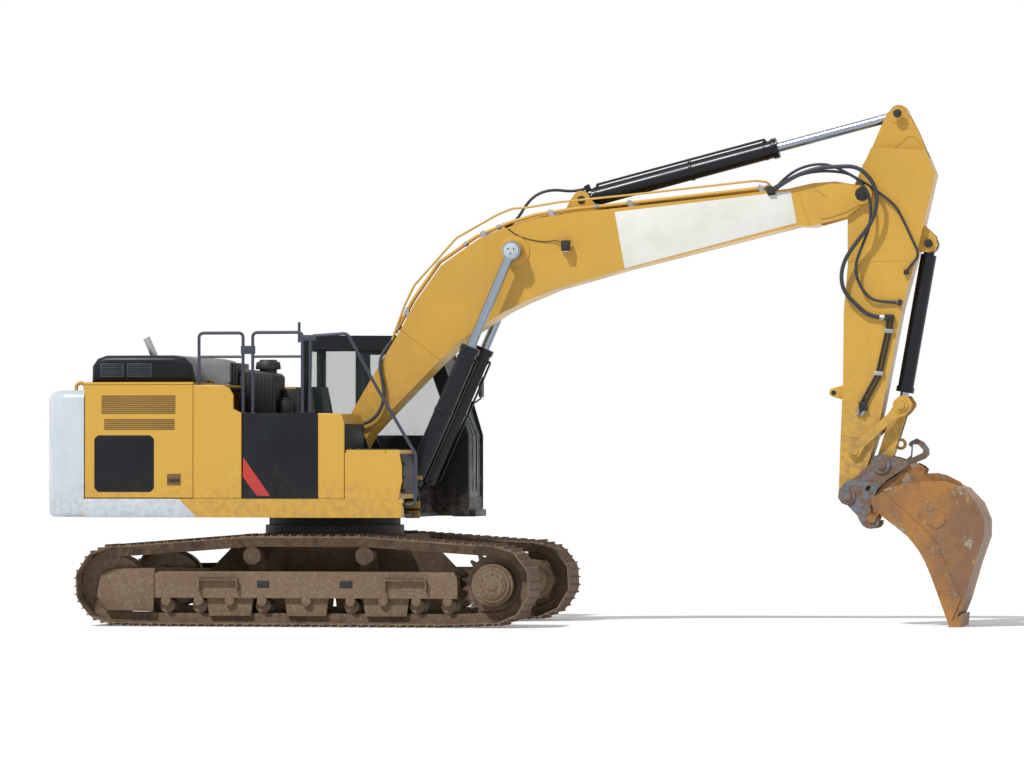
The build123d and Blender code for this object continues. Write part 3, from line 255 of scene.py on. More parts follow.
class Finish:
    """One procedural material, built node by node."""

    def __init__(self, name):
        self.material = bpy.data.materials.new(name)
        self.material.use_nodes = True
        self.tree = self.material.node_tree
        self.shader = self.tree.nodes["Principled BSDF"]

    def node(self, kind, settings=None, inputs=None, out=0):
        made = self.tree.nodes.new(kind)
        for key, value in (settings or {}).items():
            setattr(made, key, value)
        for key, value in (inputs or {}).items():
            self.plug(made.inputs[key], value)
        return Wire(self, made.outputs[out])

    def plug(self, socket, value):
        if isinstance(value, Wire):
            self.tree.links.new(value.socket, socket)
        else:
            socket.default_value = value

    def place(self, stretch=(1, 1, 1)):
        spot = self.node("ShaderNodeTexCoord", out=3)
        return self.node("ShaderNodeMapping", {}, {"Vector": spot, "Scale": stretch})

    def axis(self, index, stretch=(1, 1, 1)):
        return self.node("ShaderNodeSeparateXYZ", {}, {0: self.place(stretch)}, out=index)

    def noise(self, scale, detail=4.0, rough=0.55, stretch=(1, 1, 1)):
        return self.node("ShaderNodeTexNoise", {}, {
            "Vector": self.place(stretch), "Scale": scale, "Detail": detail, "Roughness": rough})

    def between(self, value, low, high):
        """0 below low, 1 above high, smooth between."""
        return self.node("ShaderNodeMapRange", {"interpolation_type": "SMOOTHSTEP"}, {
            "Value": value, "From Min": low, "From Max": high})

    def mix(self, share, first, second):
        return self.node("ShaderNodeMix", {"data_type": "RGBA"},
                         {0: share, 6: first, 7: second}, out=2)

    def bump(self, height, distance):
        return self.node("ShaderNodeBump", {}, {
            "Height": height, "Distance": distance, "Strength": 1.0})

    def done(self, **sockets):
        """The material, with values or wires on the shader's sockets of those names."""
        for name, value in sockets.items():
            self.plug(self.shader.inputs[name.replace("_", " ").title()], value)
        return self.material


MUD = paint(126, 106, 84)
DRY_MUD = paint(152, 134, 112)
RUST = paint(112, 66, 38)


def coated(name, colour, dull, gloss=0.32, dust=0.35, low=1.15, high=1.75, streaks=0.25,
           sheen=0.5):
    """Machine enamel: faded patches, rain streaks, chips, and dust that thickens from the height
    high down to low, both in metres."""
    f = Finish(name)
    patch = f.between(f.noise(1.6, 5), 0.42, 0.68)
    shade = f.mix(patch * 0.55, colour, dull)
    streak = f.between(f.noise(9, 3, 0.5, (1, 1, 0.09)), 0.52, 0.72)
    shade = f.mix(streak * streaks, shade, dull)
    height = 1 - f.between(f.axis(2) + (f.noise(5, 5) - 0.5) * 0.7, low, high)
    grime = height * f.between(f.noise(14, 6, 0.65), 0.38, 0.62) * dust
    shade = f.mix(grime, shade, MUD)
    chips = f.between(f.noise(38, 3, 0.5), 0.715, 0.74) * f.between(f.noise(2.3, 2), 0.5, 0.6)
    shade = f.mix(chips * 0.8, shade, RUST)
    f.shader.inputs["Specular IOR Level"].default_value = sheen
    return f.done(base_color=shade, roughness=patch * 0.12 + grime * 0.6 + gloss,
                  normal=f.bump(f.noise(60, 3) * 0.4 + grime, 0.0012))


def muddy(name, colour, cover, grit=0.006, shine=0.0):
    """Steel under dried mud, the mud thicker in patches."""
    f = Finish(name)
    clod = f.noise(7, 8, 0.7)
    layer = f.between(clod, 0.5 - cover * 0.3, 0.62 - cover * 0.1)
    tone = f.mix(f.noise(2.2, 4), MUD, paint(100, 84, 68))
    tone = f.mix(f.between(f.noise(26, 6, 0.7), 0.45, 0.7) * 0.6, tone, DRY_MUD)
    steel = f.mix(f.between(f.noise(18, 6), 0.4, 0.65), colour, RUST)
    return f.done(base_color=f.mix(layer, steel, tone), roughness=layer * 0.4 + (0.55 - shine),
                  metallic=(1 - layer) * shine,
                  normal=f.bump(clod + f.noise(55, 5, 0.7) * 0.5, grit))


def plain(name, colour, roughness, grain=120, depth=0.0006, metallic=0.0, drift=0.25):
    """Moulded or bare surface with a little drift in its tone."""
    f = Finish(name)
    darker = tuple(c * (1 - drift) for c in colour[:3]) + (1,)
    tone = f.mix(f.between(f.noise(3.1, 5), 0.35, 0.7), colour, darker)
    return f.done(base_color=tone, roughness=f.noise(11, 4) * 0.16 + (roughness - 0.08),
                  metallic=metallic, normal=f.bump(f.noise(grain, 3), depth))


YELLOW = paint(204, 158, 60)
yellow = coated("yellow_enamel", YELLOW, paint(196, 158, 66))
arm_yellow = coated("yellow_enamel_worn", YELLOW, paint(188, 150, 66), low=0.9, high=3.2,
                    dust=0.75, streaks=0.4)
grey = coated("pale_enamel", paint(196, 205, 213), paint(176, 186, 194), dust=0.25)
black = coated("black_enamel", paint(19, 22, 28), paint(34, 38, 44), gloss=0.42, dust=0.25,
               sheen=0.22)
gloss_black = coated("black_cylinder_enamel", paint(12, 15, 22), paint(26, 29, 36), gloss=0.26,
                     dust=0.3, sheen=0.3)
track_mud = muddy("track_mud", paint(60, 50, 44), 0.6)
frame_mud = muddy("undercarriage_mud", paint(104, 82, 54), 0.85)
roller_mud = muddy("roller_mud", paint(70, 60, 52), 0.5, shine=0.2)
coupler = muddy("coupler_paint", paint(96, 112, 126), 0.28, 0.004)
chrome = plain("chrome", paint(150, 160, 174), 0.18, 300, 0.00005, metallic=1.0, drift=0.1)
steel = plain("plated_steel", paint(168, 170, 172), 0.34, 200, 0.0002, metallic=0.9)
dark_steel = plain("dark_steel", paint(52, 50, 48), 0.5, metallic=0.5)
plastic = plain("black_plastic", paint(16, 17, 20), 0.5, 260)
fabric = plain("seat_fabric", paint(38, 40, 44), 0.9, 420, 0.001)


def ochre_bucket():
    """Bucket plate: worn ochre paint and rust under patches of grey mud."""
    f = Finish("bucket_plate")
    tone = f.mix(f.between(f.noise(1.7, 6, 0.6), 0.38, 0.64),
                 paint(160, 112, 56), paint(122, 90, 66))
    tone = f.mix(f.between(f.noise(9, 7, 0.7), 0.5, 0.72) * 0.7, tone, paint(104, 74, 50))
    cake = f.between(f.noise(4.4, 9, 0.74), 0.56, 0.62)
    tone = f.mix(cake, tone, paint(160, 146, 128))
    scrape = f.between(f.noise(16, 4, 0.6, (1, 1, 0.25)), 0.64, 0.7)
    tone = f.mix(scrape * 0.5, tone, paint(190, 150, 96))
    return f.done(base_color=tone, roughness=cake * 0.35 + 0.5, metallic=0.15,
                  normal=f.bump(cake * 0.8 + f.noise(40, 5, 0.7) * 0.5, 0.006))


def window_glass():
    """Tinted cab glass, dustier towards the bottom."""
    f = Finish("cab_glass")
    dust = (1 - f.between(f.axis(2), 1.3, 2.3)) * f.between(f.noise(12, 5), 0.35, 0.75)
    return f.done(base_color=f.mix(dust, paint(66, 84, 86), paint(150, 150, 140)),
                  roughness=dust * 0.4 + 0.04, alpha=dust * 0.3 + 0.16)


bucket_plate = ochre_bucket()
glass = window_glass()

NODE_FINISH = {
    "track_right": track_mud, "track_left": track_mud, "car_body": frame_mud,
    "track_frame_right": frame_mud, "track_frame_left": frame_mud, "swing_bearing": dark_steel,
    "idlers": roller_mud, "sprockets": roller_mud, "final_drives": frame_mud,
    "bottom_rollers": roller_mud, "carrier_rollers": roller_mud, "counterweight": grey,
    "engine_block": dark_steel, "exhaust": dark_steel, "engine_hood": black,
    "hydraulic_tank": yellow, "cab_frame": black, "cab_door": black, "handrails": black,
    "valve_bay_cover": black, "seat": fabric, "consoles": plastic, "boom": arm_yellow,
    "stick": arm_yellow, "rocker_arms": arm_yellow, "h_link": arm_yellow,
    "quick_coupler": coupler, "bucket": bucket_plate, "main_frame": black,
}
for name, shown in nodes.items():
    if name in NODE_FINISH:
        finish = NODE_FINISH[name]
    elif "cylinder_barrel" in name:
        finish = gloss_black
    elif "cylinder_rod" in name:
        finish = chrome
    else:
        finish = yellow
    for material_slot in shown.material_slots:
        material_slot.material = finish


# ---------------------------------------------------------------- solids of the fittings
SHARP = 0.6       # radians between faces, past which an edge counts as sharp
HEX = 6           # sides of a nut or a bolt's head


def sharp_edges(solid):
    return [edge for edge in solid.edges if edge.calc_face_angle(0) > SHARP]


def shade(solid):
    """Smooth faces that meet in hard lines at the sharp edges."""
    for face in solid.faces:
        face.smooth = True
    for edge in sharp_edges(solid):
        edge.smooth = False


def round_off(solid, edges, width, rounds):
    bmesh.ops.bevel(solid, geom=edges, offset=width, segments=rounds, profile=0.5,
                    affect="EDGES", material=-1, clamp_overlap=True)


def carried(corners, by):
    """Solid between a flat outline and the same outline carried along a vector."""
    solid = bmesh.new()
    face = solid.faces.new([solid.verts.new(corner) for corner in corners])
    grown = bmesh.ops.extrude_face_region(solid, geom=[face])["geom"]
    bmesh.ops.translate(solid, vec=by,
                        verts=[v for v in grown if isinstance(v, bmesh.types.BMVert)])
    bmesh.ops.recalc_face_normals(solid, faces=solid.faces[:])
    return solid


def show(name, solid, finish):
    """Object of one mesh made from a solid, in its finish."""
    mesh = bpy.data.meshes.new(name)
    solid.to_mesh(mesh)
    solid.free()
    mesh.materials.append(finish)
    piece = bpy.data.objects.new(name, mesh)
    bpy.context.collection.objects.link(piece)
    return piece


class Shape:
    """A fitting under way: solids in millimetres on a body's axes, gathered in one mesh.

    A bevel of 0 leaves a solid's edges as they are."""

    def __init__(self, on=MACHINE):
        self.on, self.gathered = on, bmesh.new()

    def take(self, solid, bevel, rounds=2):
        """Adds a solid, its sharp edges rounded by bevel millimetres."""
        if bevel:
            round_off(solid, sharp_edges(solid), bevel, rounds)
        part = bpy.data.meshes.new("part")
        solid.to_mesh(part)
        solid.free()
        self.gathered.from_mesh(part)
        bpy.data.meshes.remove(part)
        return self

    def box(self, x0, x1, y0, y1, z0, z1, bevel=3, rounds=2):
        solid = bmesh.new()
        middle = Vector((x0 + x1, y0 + y1, z0 + z1)) / 2
        bmesh.ops.create_cube(solid, size=1, matrix=Matrix.Translation(middle)
                              @ Matrix.Diagonal((abs(x1 - x0), abs(y1 - y0), abs(z1 - z0), 1)))
        return self.take(solid, bevel, rounds)

    def prism(self, outline, y0, y1, bevel=2, rounds=2):
        """Outline of (along, up) carried across from y0 to y1."""
        return self.take(carried([(x, y0, z) for x, z in outline], (0, y1 - y0, 0)), bevel, rounds)

    def rod(self, start, end, r, r_end=None, sides=24, bevel=0):
        start, end = Vector(start), Vector(end)
        solid = bmesh.new()
        bmesh.ops.create_cone(
            solid, cap_ends=True, segments=sides, radius1=r, radius2=r if r_end is None else r_end,
            depth=(end - start).length, matrix=Matrix.Translation((start + end) / 2)
            @ (end - start).to_track_quat("Z", "Y").to_matrix().to_4x4())
        return self.take(solid, bevel)

    def ring(self, start, end, r_in, r_out, sides=36):
        """Collar round the line from start to end, open in the middle."""
        solid = bmesh.new()
        aim = (end - start).normalized()
        out = aim.orthogonal().normalized()
        corners = [solid.verts.new(spot) for spot in (start + out * r_in, start + out * r_out,
                                                      end + out * r_out, end + out * r_in)]
        rim = [solid.edges.new(pair) for pair in zip(corners, corners[1:] + corners[:1])]
        bmesh.ops.spin(solid, geom=corners + rim, cent=start, axis=aim, dvec=(0, 0, 0),
                       angle=math.tau, steps=sides, use_merge=True)
        bmesh.ops.remove_doubles(solid, verts=solid.verts[:], dist=0.01)
        bmesh.ops.recalc_face_normals(solid, faces=solid.faces[:])
        return self.take(solid, 2)

    def disc(self, x, z, r, y0, y1, bevel=2, sides=28):
        return self.rod((x, y0, z), (x, y1, z), r, sides=sides, bevel=bevel)

    def bolts(self, x, z, ring, count, y0, y1, r):
        """Hexagon heads on a circle."""
        for k in range(count):
            turn = math.tau * k / count
            self.disc(x + ring * math.cos(turn), z + ring * math.sin(turn), r, y0, y1, 1, HEX)
        return self

    def tube(self, points, r, bend=0):
        """Tube along (along, across, up) points, its corners rounded within bend of them."""
        points = [Vector(p) for p in points]
        route = [points[0]]
        for before, corner, after in zip(points, points[1:], points[2:]):
            if bend:
                route += [corner + (before - corner).normalized() * bend, corner,
                          corner + (after - corner).normalized() * bend]
            else:
                route.append(corner)
        part = spline_mesh(route + [points[-1]], r)
        self.gathered.from_mesh(part)
        bpy.data.meshes.remove(part)
        return self

    def done(self, name, finish, body, slot):
        """The piece, riding on a body."""
        solid = self.gathered
        bmesh.ops.recalc_face_normals(solid, faces=solid.faces[:])
        shade(solid)
        bmesh.ops.transform(solid, matrix=self.on, verts=solid.verts[:])
        piece = show(name, solid, finish)
        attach(piece, body)
        return piece


def soften(name, width):
    """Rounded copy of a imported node: its flat faces joined, its sharp edges bevelled."""
    node = nodes[name]
    solid = bmesh.new()
    solid.from_mesh(node.data)
    bmesh.ops.transform(solid, matrix=node.matrix_world, verts=solid.verts[:])
    bmesh.ops.remove_doubles(solid, verts=solid.verts[:], dist=1e-5)
    bmesh.ops.dissolve_limit(solid, angle_limit=0.005, verts=solid.verts[:], edges=solid.edges[:])
    shade(solid)
    piece = show(name + "_finished", solid, node.material_slots[0].material)
    rounding = piece.modifiers.new("rounding", "BEVEL")
    rounding.width, rounding.segments, rounding.limit_method = width / 1000, 2, "ANGLE"
    rounding.angle_limit, rounding.use_clamp_overlap = SHARP, True
    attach(piece, body_of(node)[0])
    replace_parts(piece, name)


for name, width in {"boom": 6, "stick": 6, "right_rear_door": 9, "left_rear_door": 9,
                    "pump_panel": 9, "hydraulic_tank": 9, "fuel_tank": 9, "tool_box": 8,
                    "tool_box_lid": 9, "left_panels": 9, "engine_bay_walls": 6, "side_sills": 7,
                    "cab_frame": 8, "cab_door": 6, "main_frame": 5,
                    "track_frame_right": 10, "track_frame_left": 10, "rocker_arms": 6,
                    "h_link": 6}.items():
    soften(name, width)

# ---------------------------------------------------------------- finishes of the fittings
hose_rubber = plain("hose_cover", paint(44, 50, 60), 0.5, 180)
for tube in hoses:
    tube.data.materials.append(hose_rubber)
panel_black = coated("panel_black", paint(20, 23, 28), paint(30, 34, 40), gloss=0.3, dust=0.1,
                     sheen=0.2)
stripe_red = coated("stripe_red", paint(190, 48, 42), paint(168, 50, 44), gloss=0.3, dust=0.1)
sign_white = coated("sign_white", paint(228, 228, 222), paint(208, 206, 196), gloss=0.4, dust=0.1)
# dark brown of the door louvres and the latch: painted shade of their recesses
painted_recess_shade = plain("recess_painted_shade", paint(112, 84, 40), 0.7)
rail_blue = coated("rail_enamel", paint(46, 54, 70), paint(58, 66, 80), gloss=0.34, dust=0.2)

# ---------------------------------------------------------------- pipes over the boom
BOOM_TOP = [(142, 264), (484, 494), (1040, 860), (1304, 1052), (1725, 1285), (2208, 1360),
            (2582, 1340), (2895, 1290), (3310, 1161), (3737, 1004), (5466, 395)]


def boom_top(x):
    """Height of the boom's top plate at a place along the boom."""
    for (x0, z0), (x1, z1) in zip(BOOM_TOP, BOOM_TOP[1:]):
        if x0 <= x <= x1:
            return z0 + (z1 - z0) * (x - x0) / (x1 - x0)


PIPE_R, PIPE_RISE = 17, 46
PIPE_RUN = (960, 1300, 1725, 2208, 2582, 2895, 3310, 3737, 5290)
CLAMPS = (1180, 2290, 3050, 3865, 5200)
pipes = Shape(BOOM)
for y in (-222, -172, 172, 222):
    pipes.tube([(x, y, boom_top(x) + PIPE_RISE) for x in PIPE_RUN], PIPE_R, 60)
pipes.tube([(906, -238, 800), (1010, -238, 900), (1186, -238, 1072), (1373, -238, 1222),
            (2011, -238, 1483), (2521, -238, 1515), (2699, -238, 1502), (2819, -238, 1450),
            (3176, -238, 1345), (3997, -238, 1045), (5180, -238, 628), (5290, -228, 560),
            (5310, -222, 480)], 12, 60)
pipes.done("boom_pipes", yellow, "boom", "yellow_paint")
clamps = Shape(BOOM)
for x in CLAMPS:
    for s in (-1, 1):
        clamps.prism([(x - 26, boom_top(x - 26) - 2), (x - 26, boom_top(x - 26) + 72),
                      (x + 26, boom_top(x + 26) + 72), (x + 26, boom_top(x + 26) - 2)],
                     s * 150, s * 244, 4)
        clamps.rod((x, s * 197, boom_top(x) + 60), (x, s * 197, boom_top(x) + 84), 10, sides=HEX)
for y in (-222, -172):
    for x in (1000, 2050, 2450, 3500, 5260):
        slope = boom_top(x + 45) - boom_top(x)
        clamps.rod((x, y, boom_top(x) + PIPE_RISE), (x + 45, y, boom_top(x) + PIPE_RISE + slope),
                   24, sides=HEX)
clamps.done("boom_pipe_clamps", steel, "boom", "chrome")
ends = Shape(BOOM)
ends.prism([(5250, 440), (5250, 520), (BULKHEAD_X - 10, 500), (BULKHEAD_X - 10, 415)],
           -300, -146, 5)
ends.prism([(5240, 420), (5240, 490), (5320, 470), (5320, 395)], -262, -146, 3)
ends.prism([(TEE_X - 60, 1335), (TEE_X - 60, 1420), (TEE_X, 1400), (TEE_X, 1335)], -150, -100, 4)
for y, z in ((-274, 452), (-222, 466), (-172, 466)):
    ends.rod((BULKHEAD_X - 30, y, z - 4), (BULKHEAD_X + 40, y, z + 4), 25, sides=HEX)
ends.done("boom_hose_blocks", dark_steel, "boom", "dark_steel")

# ---------------------------------------------------------------- side of the boom
BOOM_CYL_PIN, STICK_CYL_PIN, NOSE_PIN = (2521, 1078), (3392, 1276), (6150, 0)   # on the boom
sign = [(3677, 985), (5478, 362), (5388, 29), (3517, 393)]
Shape(BOOM).prism(sign, -BOOM_HALF - 3, -BOOM_HALF + 1, 1).done(
    "boom_sign_plate", sign_white, "boom", "grey_paint")
for s, side in SIDES:
    cap = Shape(BOOM).disc(*BOOM_CYL_PIN, 82, s * 466, s * 484, 4, 36)
    cap.disc(*BOOM_CYL_PIN, 58, s * 480, s * 492, 3, 32)
    cap.done(f"boom_cylinder_pin_cap_{side}", grey, f"boom_cylinder_rod_{side}", "grey_paint")
    Shape(BOOM).bolts(*BOOM_CYL_PIN, 34, 3, s * 490, s * 494, 10).done(
        f"boom_cylinder_pin_bolts_{side}", dark_steel, f"boom_cylinder_rod_{side}", "dark_steel")
trim = Shape(BOOM)
for s in (-1, 1):
    seam = s * (BOOM_HALF + 1)
    trim.tube([(1039, seam, 862), (1303, seam, 360)], 5)
    trim.tube([(5546, seam, 360), (5500, seam, -62)], 5)
    trim.prism([(5897, 250), (5710, 283), (5805, 130), (5636, 17), (5641, -46), (5755, -80),
                (5928, -98), (6120, -86), (6195, -27), (6160, 67), (6070, 145)],
               s * (BOOM_HALF - 1), s * (BOOM_HALF + 12), 3)
    trim.disc(*BOOM_CYL_PIN, 165, s * (BOOM_HALF - 1), s * (BOOM_HALF + 14), 3, 40)
    trim.prism([(3180, 1150), (3300, 1290), (3392, 1330), (3470, 1290), (3560, 1040)],
               s * 112, s * 124, 3)
trim.done("boom_doublers", arm_yellow, "boom", "yellow_paint")
nose = Shape(BOOM)
for s in (-1, 1):
    nose.disc(*NOSE_PIN, 74, s * 268, s * 282, 4, 32).bolts(*NOSE_PIN, 50, 4, s * 280, s * 290, 11)
    nose.disc(*STICK_CYL_PIN, 44, s * 118, s * 136, 3)
nose.done("boom_pin_caps", dark_steel, "boom", "dark_steel")
lamp = Shape(BOOM)
lamp.prism([(2997, 842), (3039, 954), (3126, 913), (3064, 811)], -290, -370, 8)
lamp.prism([(2985, 858), (3020, 940), (3060, 925), (3025, 840)], -249, -300, 3)
lamp.tube([(3040, -300, 900), (2990, -275, 990), (2880, -258, 1010), (2740, -254, 1100),
           (2600, -254, 1230), (2560, -258, 1330)], 5)
lamp.done("boom_lamp", plastic, "boom", "black_plastic")
Shape(BOOM).prism([(3000, 838), (3058, 809), (3064, 812), (3004, 846)], -294, -366, 1).done(
    "boom_lamp_lens", sign_white, "boom", "chrome")

# ---------------------------------------------------------------- stick: pipes, doublers, caps
PIPE_OUT = STICK_HALF + 24      # middle of the pipes, across the machine
STICK_TOP_PIN, BUCKET_CYL_PIN = (-873, 325), (487, 717)     # of the two cylinders, on the stick
stick_run = Shape(STICK)
for s in (-1, 1):
    y = s * PIPE_OUT
    for run in ([(1310, 382), (1436, 372), (1916, 288), (2240, 130)],
                [(1310, 336), (1436, 328), (1900, 246), (2220, 90)]):
        stick_run.tube([(x, y, z) for x, z in run], 14, 60)
stick_run.done("stick_pipes", dark_steel, "stick", "dark_steel")
stick_clamps = Shape(STICK)
for s in (-1, 1):
    for x, z in ((1436, 354), (1890, 270)):
        stick_clamps.prism([(x - 22, z - 50), (x - 22, z + 52), (x + 22, z + 42), (x + 22, z - 58)],
                           s * (STICK_HALF - 1), s * (STICK_HALF + 44), 3)
    for (x0, z0), (x1, z1) in (((2262, 96), (2330, 60)), ((2276, 140), (2345, 108))):
        stick_clamps.rod((x0, s * PIPE_OUT, z0), (x1, s * PIPE_OUT, z1), 22, sides=12)
stick_clamps.rod((1126, -222, 470), (1134, -222, 425), 24, sides=HEX)
stick_clamps.rod((1296, -228, 250), (1296, -228, 310), 30, sides=HEX)
stick_clamps.done("stick_pipe_clamps", steel, "stick", "chrome")
blocks = Shape(STICK)
for s in (-1, 1):
    blocks.prism([(2200, 70), (2190, 150), (2290, 170), (2310, 80)], s * (STICK_HALF - 1),
                 s * (STICK_HALF + 46), 4)
    blocks.prism([(1262, 300), (1262, 400), (1330, 400), (1330, 300)], s * (STICK_HALF - 1),
                 s * (STICK_HALF + 62), 5)
blocks.prism([(1100, 430), (1100, 476), (1160, 470), (1160, 430)],
             -STICK_HALF + 1, -STICK_HALF - 50, 4)
blocks.prism([(780, 480), (780, 530), (830, 530), (830, 480)],
             -STICK_HALF + 1, -STICK_HALF - 48, 4)
for s in (-1, 1):
    blocks.disc(0, 0, 58, s * (STICK_HALF + 1), s * (STICK_HALF + 4), 0)
    blocks.disc(*STICK_TOP_PIN, 46, s * (STICK_HALF - 1), s * (STICK_HALF + 16), 4)
    blocks.disc(*BUCKET_CYL_PIN, 46, s * 130, s * 150, 4)
blocks.done("stick_hose_blocks", dark_steel, "stick", "dark_steel")
stick_trim = Shape(STICK)
for s in (-1, 1):
    y = s * STICK_HALF
    stick_trim.tube([(-259, y, -43), (-300, y, -20), (-392, y, 31), (-742, y, 399), (-735, y, 472),
                     (-629, y, 550)], 3, 30)
    stick_trim.tube([(716, y, -120), (690, y, 300), (680, y, 585)], 5)
    stick_trim.tube([(2560, y, -100), (2600, y, 90), (2570, y, 270)], 5)
    stick_trim.disc(*STICK_TOP_PIN, 62, s * (STICK_HALF - 1), s * (STICK_HALF + 9), 3, 36)
stick_trim.prism([(2030, -108), (2060, -210), (2080, -262), (2130, -272), (2160, -240),
                  (2190, -108)], -40, 40, 5)
stick_trim.done("stick_doublers", arm_yellow, "stick", "yellow_paint")
Shape(STICK).disc(2118, -222, 26, -44, 44, 0).done(
    "stick_lug_bush", dark_steel, "stick", "dark_steel")

# ---------------------------------------------------------------- cylinders
BOOM_ROD_SHOWN, STICK_ROD_SHOWN, BARREL_CAP = 1018, 1247, 100   # bare rod, and what ends a barrel
BOOM_BARREL_R, STICK_BARREL_R = 95, 98


def on_house(body, x, z):
    """Place in the middle plane of a body, in the house's millimetres."""
    return MACHINE.inverted() @ (body @ Vector((x, 0, z)))


BOOM_CYL_FOOT, BOOM_CYL_EYE = Vector((890, 0, 1400)), on_house(BOOM, *BOOM_CYL_PIN)
STICK_CYL_FOOT, STICK_CYL_EYE = on_house(BOOM, *STICK_CYL_PIN), on_house(STICK, -869, 332)


def along(start, end, y, distance):
    """Point at a distance from start on the line to end, at y across the machine."""
    spot = start + (end - start).normalized() * distance
    return Vector((spot.x, y, spot.z))


def dress_cylinder(name, start, end, y, r, rod_shown, turned, pipe_steps):
    """Collars, gland bolts and pipes of the barrel that runs from start towards end.

    The pipes lie above it (turned 1) or below (-1), each a step in pipe_steps across from y."""
    gland = (end - start).length - rod_shown - BARREL_CAP
    aim = (end - start).normalized()
    off = Vector((-aim.z, 0, aim.x)) * turned
    work = Shape()
    for distance, length, grow in ((gland - 64, 50, 13), (gland - 150, 20, 7),
                                   (gland * 0.55, 34, 8), (150, 26, 8)):
        work.ring(along(start, end, y, distance), along(start, end, y, distance + length),
                  r - 4, r + grow)
    bolts = 8
    for k in range(bolts):
        turn = math.tau * k / bolts
        spot = along(start, end, y, gland - 17) + off * math.cos(turn) * (r - 8) \
            + Vector((0, math.sin(turn) * (r - 8), 0))
        work.rod(spot, spot + aim * 16, 9, sides=HEX)
    near, far = 190, gland - 120
    for step in pipe_steps:
        path = ((near, r - 10), (near, r + 24), (far, r + 24), (far, r - 6))
        work.tube([along(start, end, y + step, distance) + off * out for distance, out in path],
                  12, 26)
    work.done(name + "_fittings", gloss_black, name, "black_paint")


for s, side in SIDES:
    dress_cylinder(f"boom_cylinder_barrel_{side}", BOOM_CYL_FOOT, BOOM_CYL_EYE, s * 420,
                   BOOM_BARREL_R, BOOM_ROD_SHOWN, -1, (0,))
dress_cylinder("stick_cylinder_barrel", STICK_CYL_FOOT, STICK_CYL_EYE, 0,
               STICK_BARREL_R, STICK_ROD_SHOWN, 1, (-24, 24))
Shape(BOOM).prism([(PORT_X, 1330), (PORT_X, 1400), (PORT_X + 60, 1400), (PORT_X + 60, 1320)],
                  -70, -10, 4).done("stick_cylinder_port", gloss_black, "stick_cylinder_barrel",
                                    "black_paint")

# ---------------------------------------------------------------- counterweight
DECK_Z, TOP_Z = 1150, 2500
FRONT_X, SHOULDER_X, TAIL_X = -2415, -2740, (MACHINE.inverted() @ Vector(cad_low)).x
BOW = 16                        # straight pieces in the curve of the tail
plan = [(FRONT_X, -HOUSE_HALF)] + [
    (SHOULDER_X + (TAIL_X - SHOULDER_X) * (1 - (2 * k / BOW - 1) ** 2),
     HOUSE_HALF * (2 * k / BOW - 1)) for k in range(BOW + 1)] + [(FRONT_X, HOUSE_HALF)]
weight = carried([(x, y, DECK_Z) for x, y in plan], (0, 0, TOP_Z - DECK_Z))
uprights = [e for e in sharp_edges(weight) if abs(e.verts[0].co.z - e.verts[1].co.z) > 1
            and e.verts[0].co.x < FRONT_X - 10]
round_off(weight, uprights, 130, 8)
for level, width, rounds in ((TOP_Z, 105, 8), (DECK_Z, 60, 5)):
    rim = [e for e in weight.edges if all(abs(v.co.z - level) < 1 for v in e.verts)
           and not all(v.co.x > FRONT_X - 1 for v in e.verts) and len(e.link_faces) == 2
           and e.calc_face_angle(0) > SHARP]
    round_off(weight, rim, width, rounds)
casting = Shape().take(weight, 0).done("counterweight_casting", grey, "house", "grey_paint")
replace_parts(casting, "counterweight")
eyes = Shape()
for s in (-1, 1):
    eyes.tube([(-2650, s * 900, 2470), (-2650, s * 900, 2560), (-2600, s * 900, 2590),
               (-2550, s * 900, 2560), (-2550, s * 900, 2470)], 20, 30)
eyes.done("counterweight_lifting_eyes", yellow, "house", "yellow_paint")

# ---------------------------------------------------------------- right side of the house
FACE = -HOUSE_HALF
Shape().prism([(-685, 1350), (-685, 2255), (120, 2255), (120, 1350)], FACE - 3, FACE + 1, 1).done(
    "tank_side_panel", panel_black, "house", "black_paint")
Shape().prism([(-679, 1786), (-686, 1584), (-534, 1383), (-387, 1378)], FACE - 5, FACE - 2, 1).done(
    "side_stripe", stripe_red, "house", "grey_paint")
badge = [(-2260, 1420), (-2300, 1460), (-2300, 1980), (-2260, 2020), (-1690, 2020),
         (-1650, 1980), (-1650, 1460), (-1690, 1420)]
Shape().prism(badge, FACE - 4, FACE + 1, 1).done(
    "door_badge_plate", panel_black, "right_rear_door", "black_paint")
for s, side in SIDES:
    door, vents = f"{side}_rear_door", Shape()
    # louvre slats in dark brown, painted shade of the recessed louvres
    for x0, x1, z0, slats in ((-2225, -1413, 2250, 10), (-2197, -1421, 2080, 6)):
        for z in range(z0, z0 + slats * 20, 20):
            slat = [(x0 + 8, z), (x0, z + 6), (x0 + 8, z + 12), (x1 - 8, z + 12), (x1, z + 6),
                    (x1 - 8, z)]
            vents.prism(slat, s * (HOUSE_HALF - 1), s * (HOUSE_HALF + 4), 1)
    vents.done(door + "_vents_painted_shade", painted_recess_shade, door, "yellow_paint")
    # latch: a dark brown box proud of the door, painted shade of the latch recess
    Shape().box(-1508, -1357, s * (HOUSE_HALF - 1), s * (HOUSE_HALF + 3), 1490, 1612, 2).done(
        door + "_latch_recess_painted_shade", painted_recess_shade, door, "dark_steel")
    Shape().box(-1488, -1377, s * (HOUSE_HALF + 2), s * (HOUSE_HALF + 9), 1526, 1562, 3).done(
        door + "_pull", dark_steel, door, "dark_steel")
Shape().prism([(-2412, 1346), (-1380, 1346), (-1187, 1154), (-2412, 1154)],
              FACE - 4, FACE + 1, 2).done("sill_pale_part", grey, "house", "grey_paint")
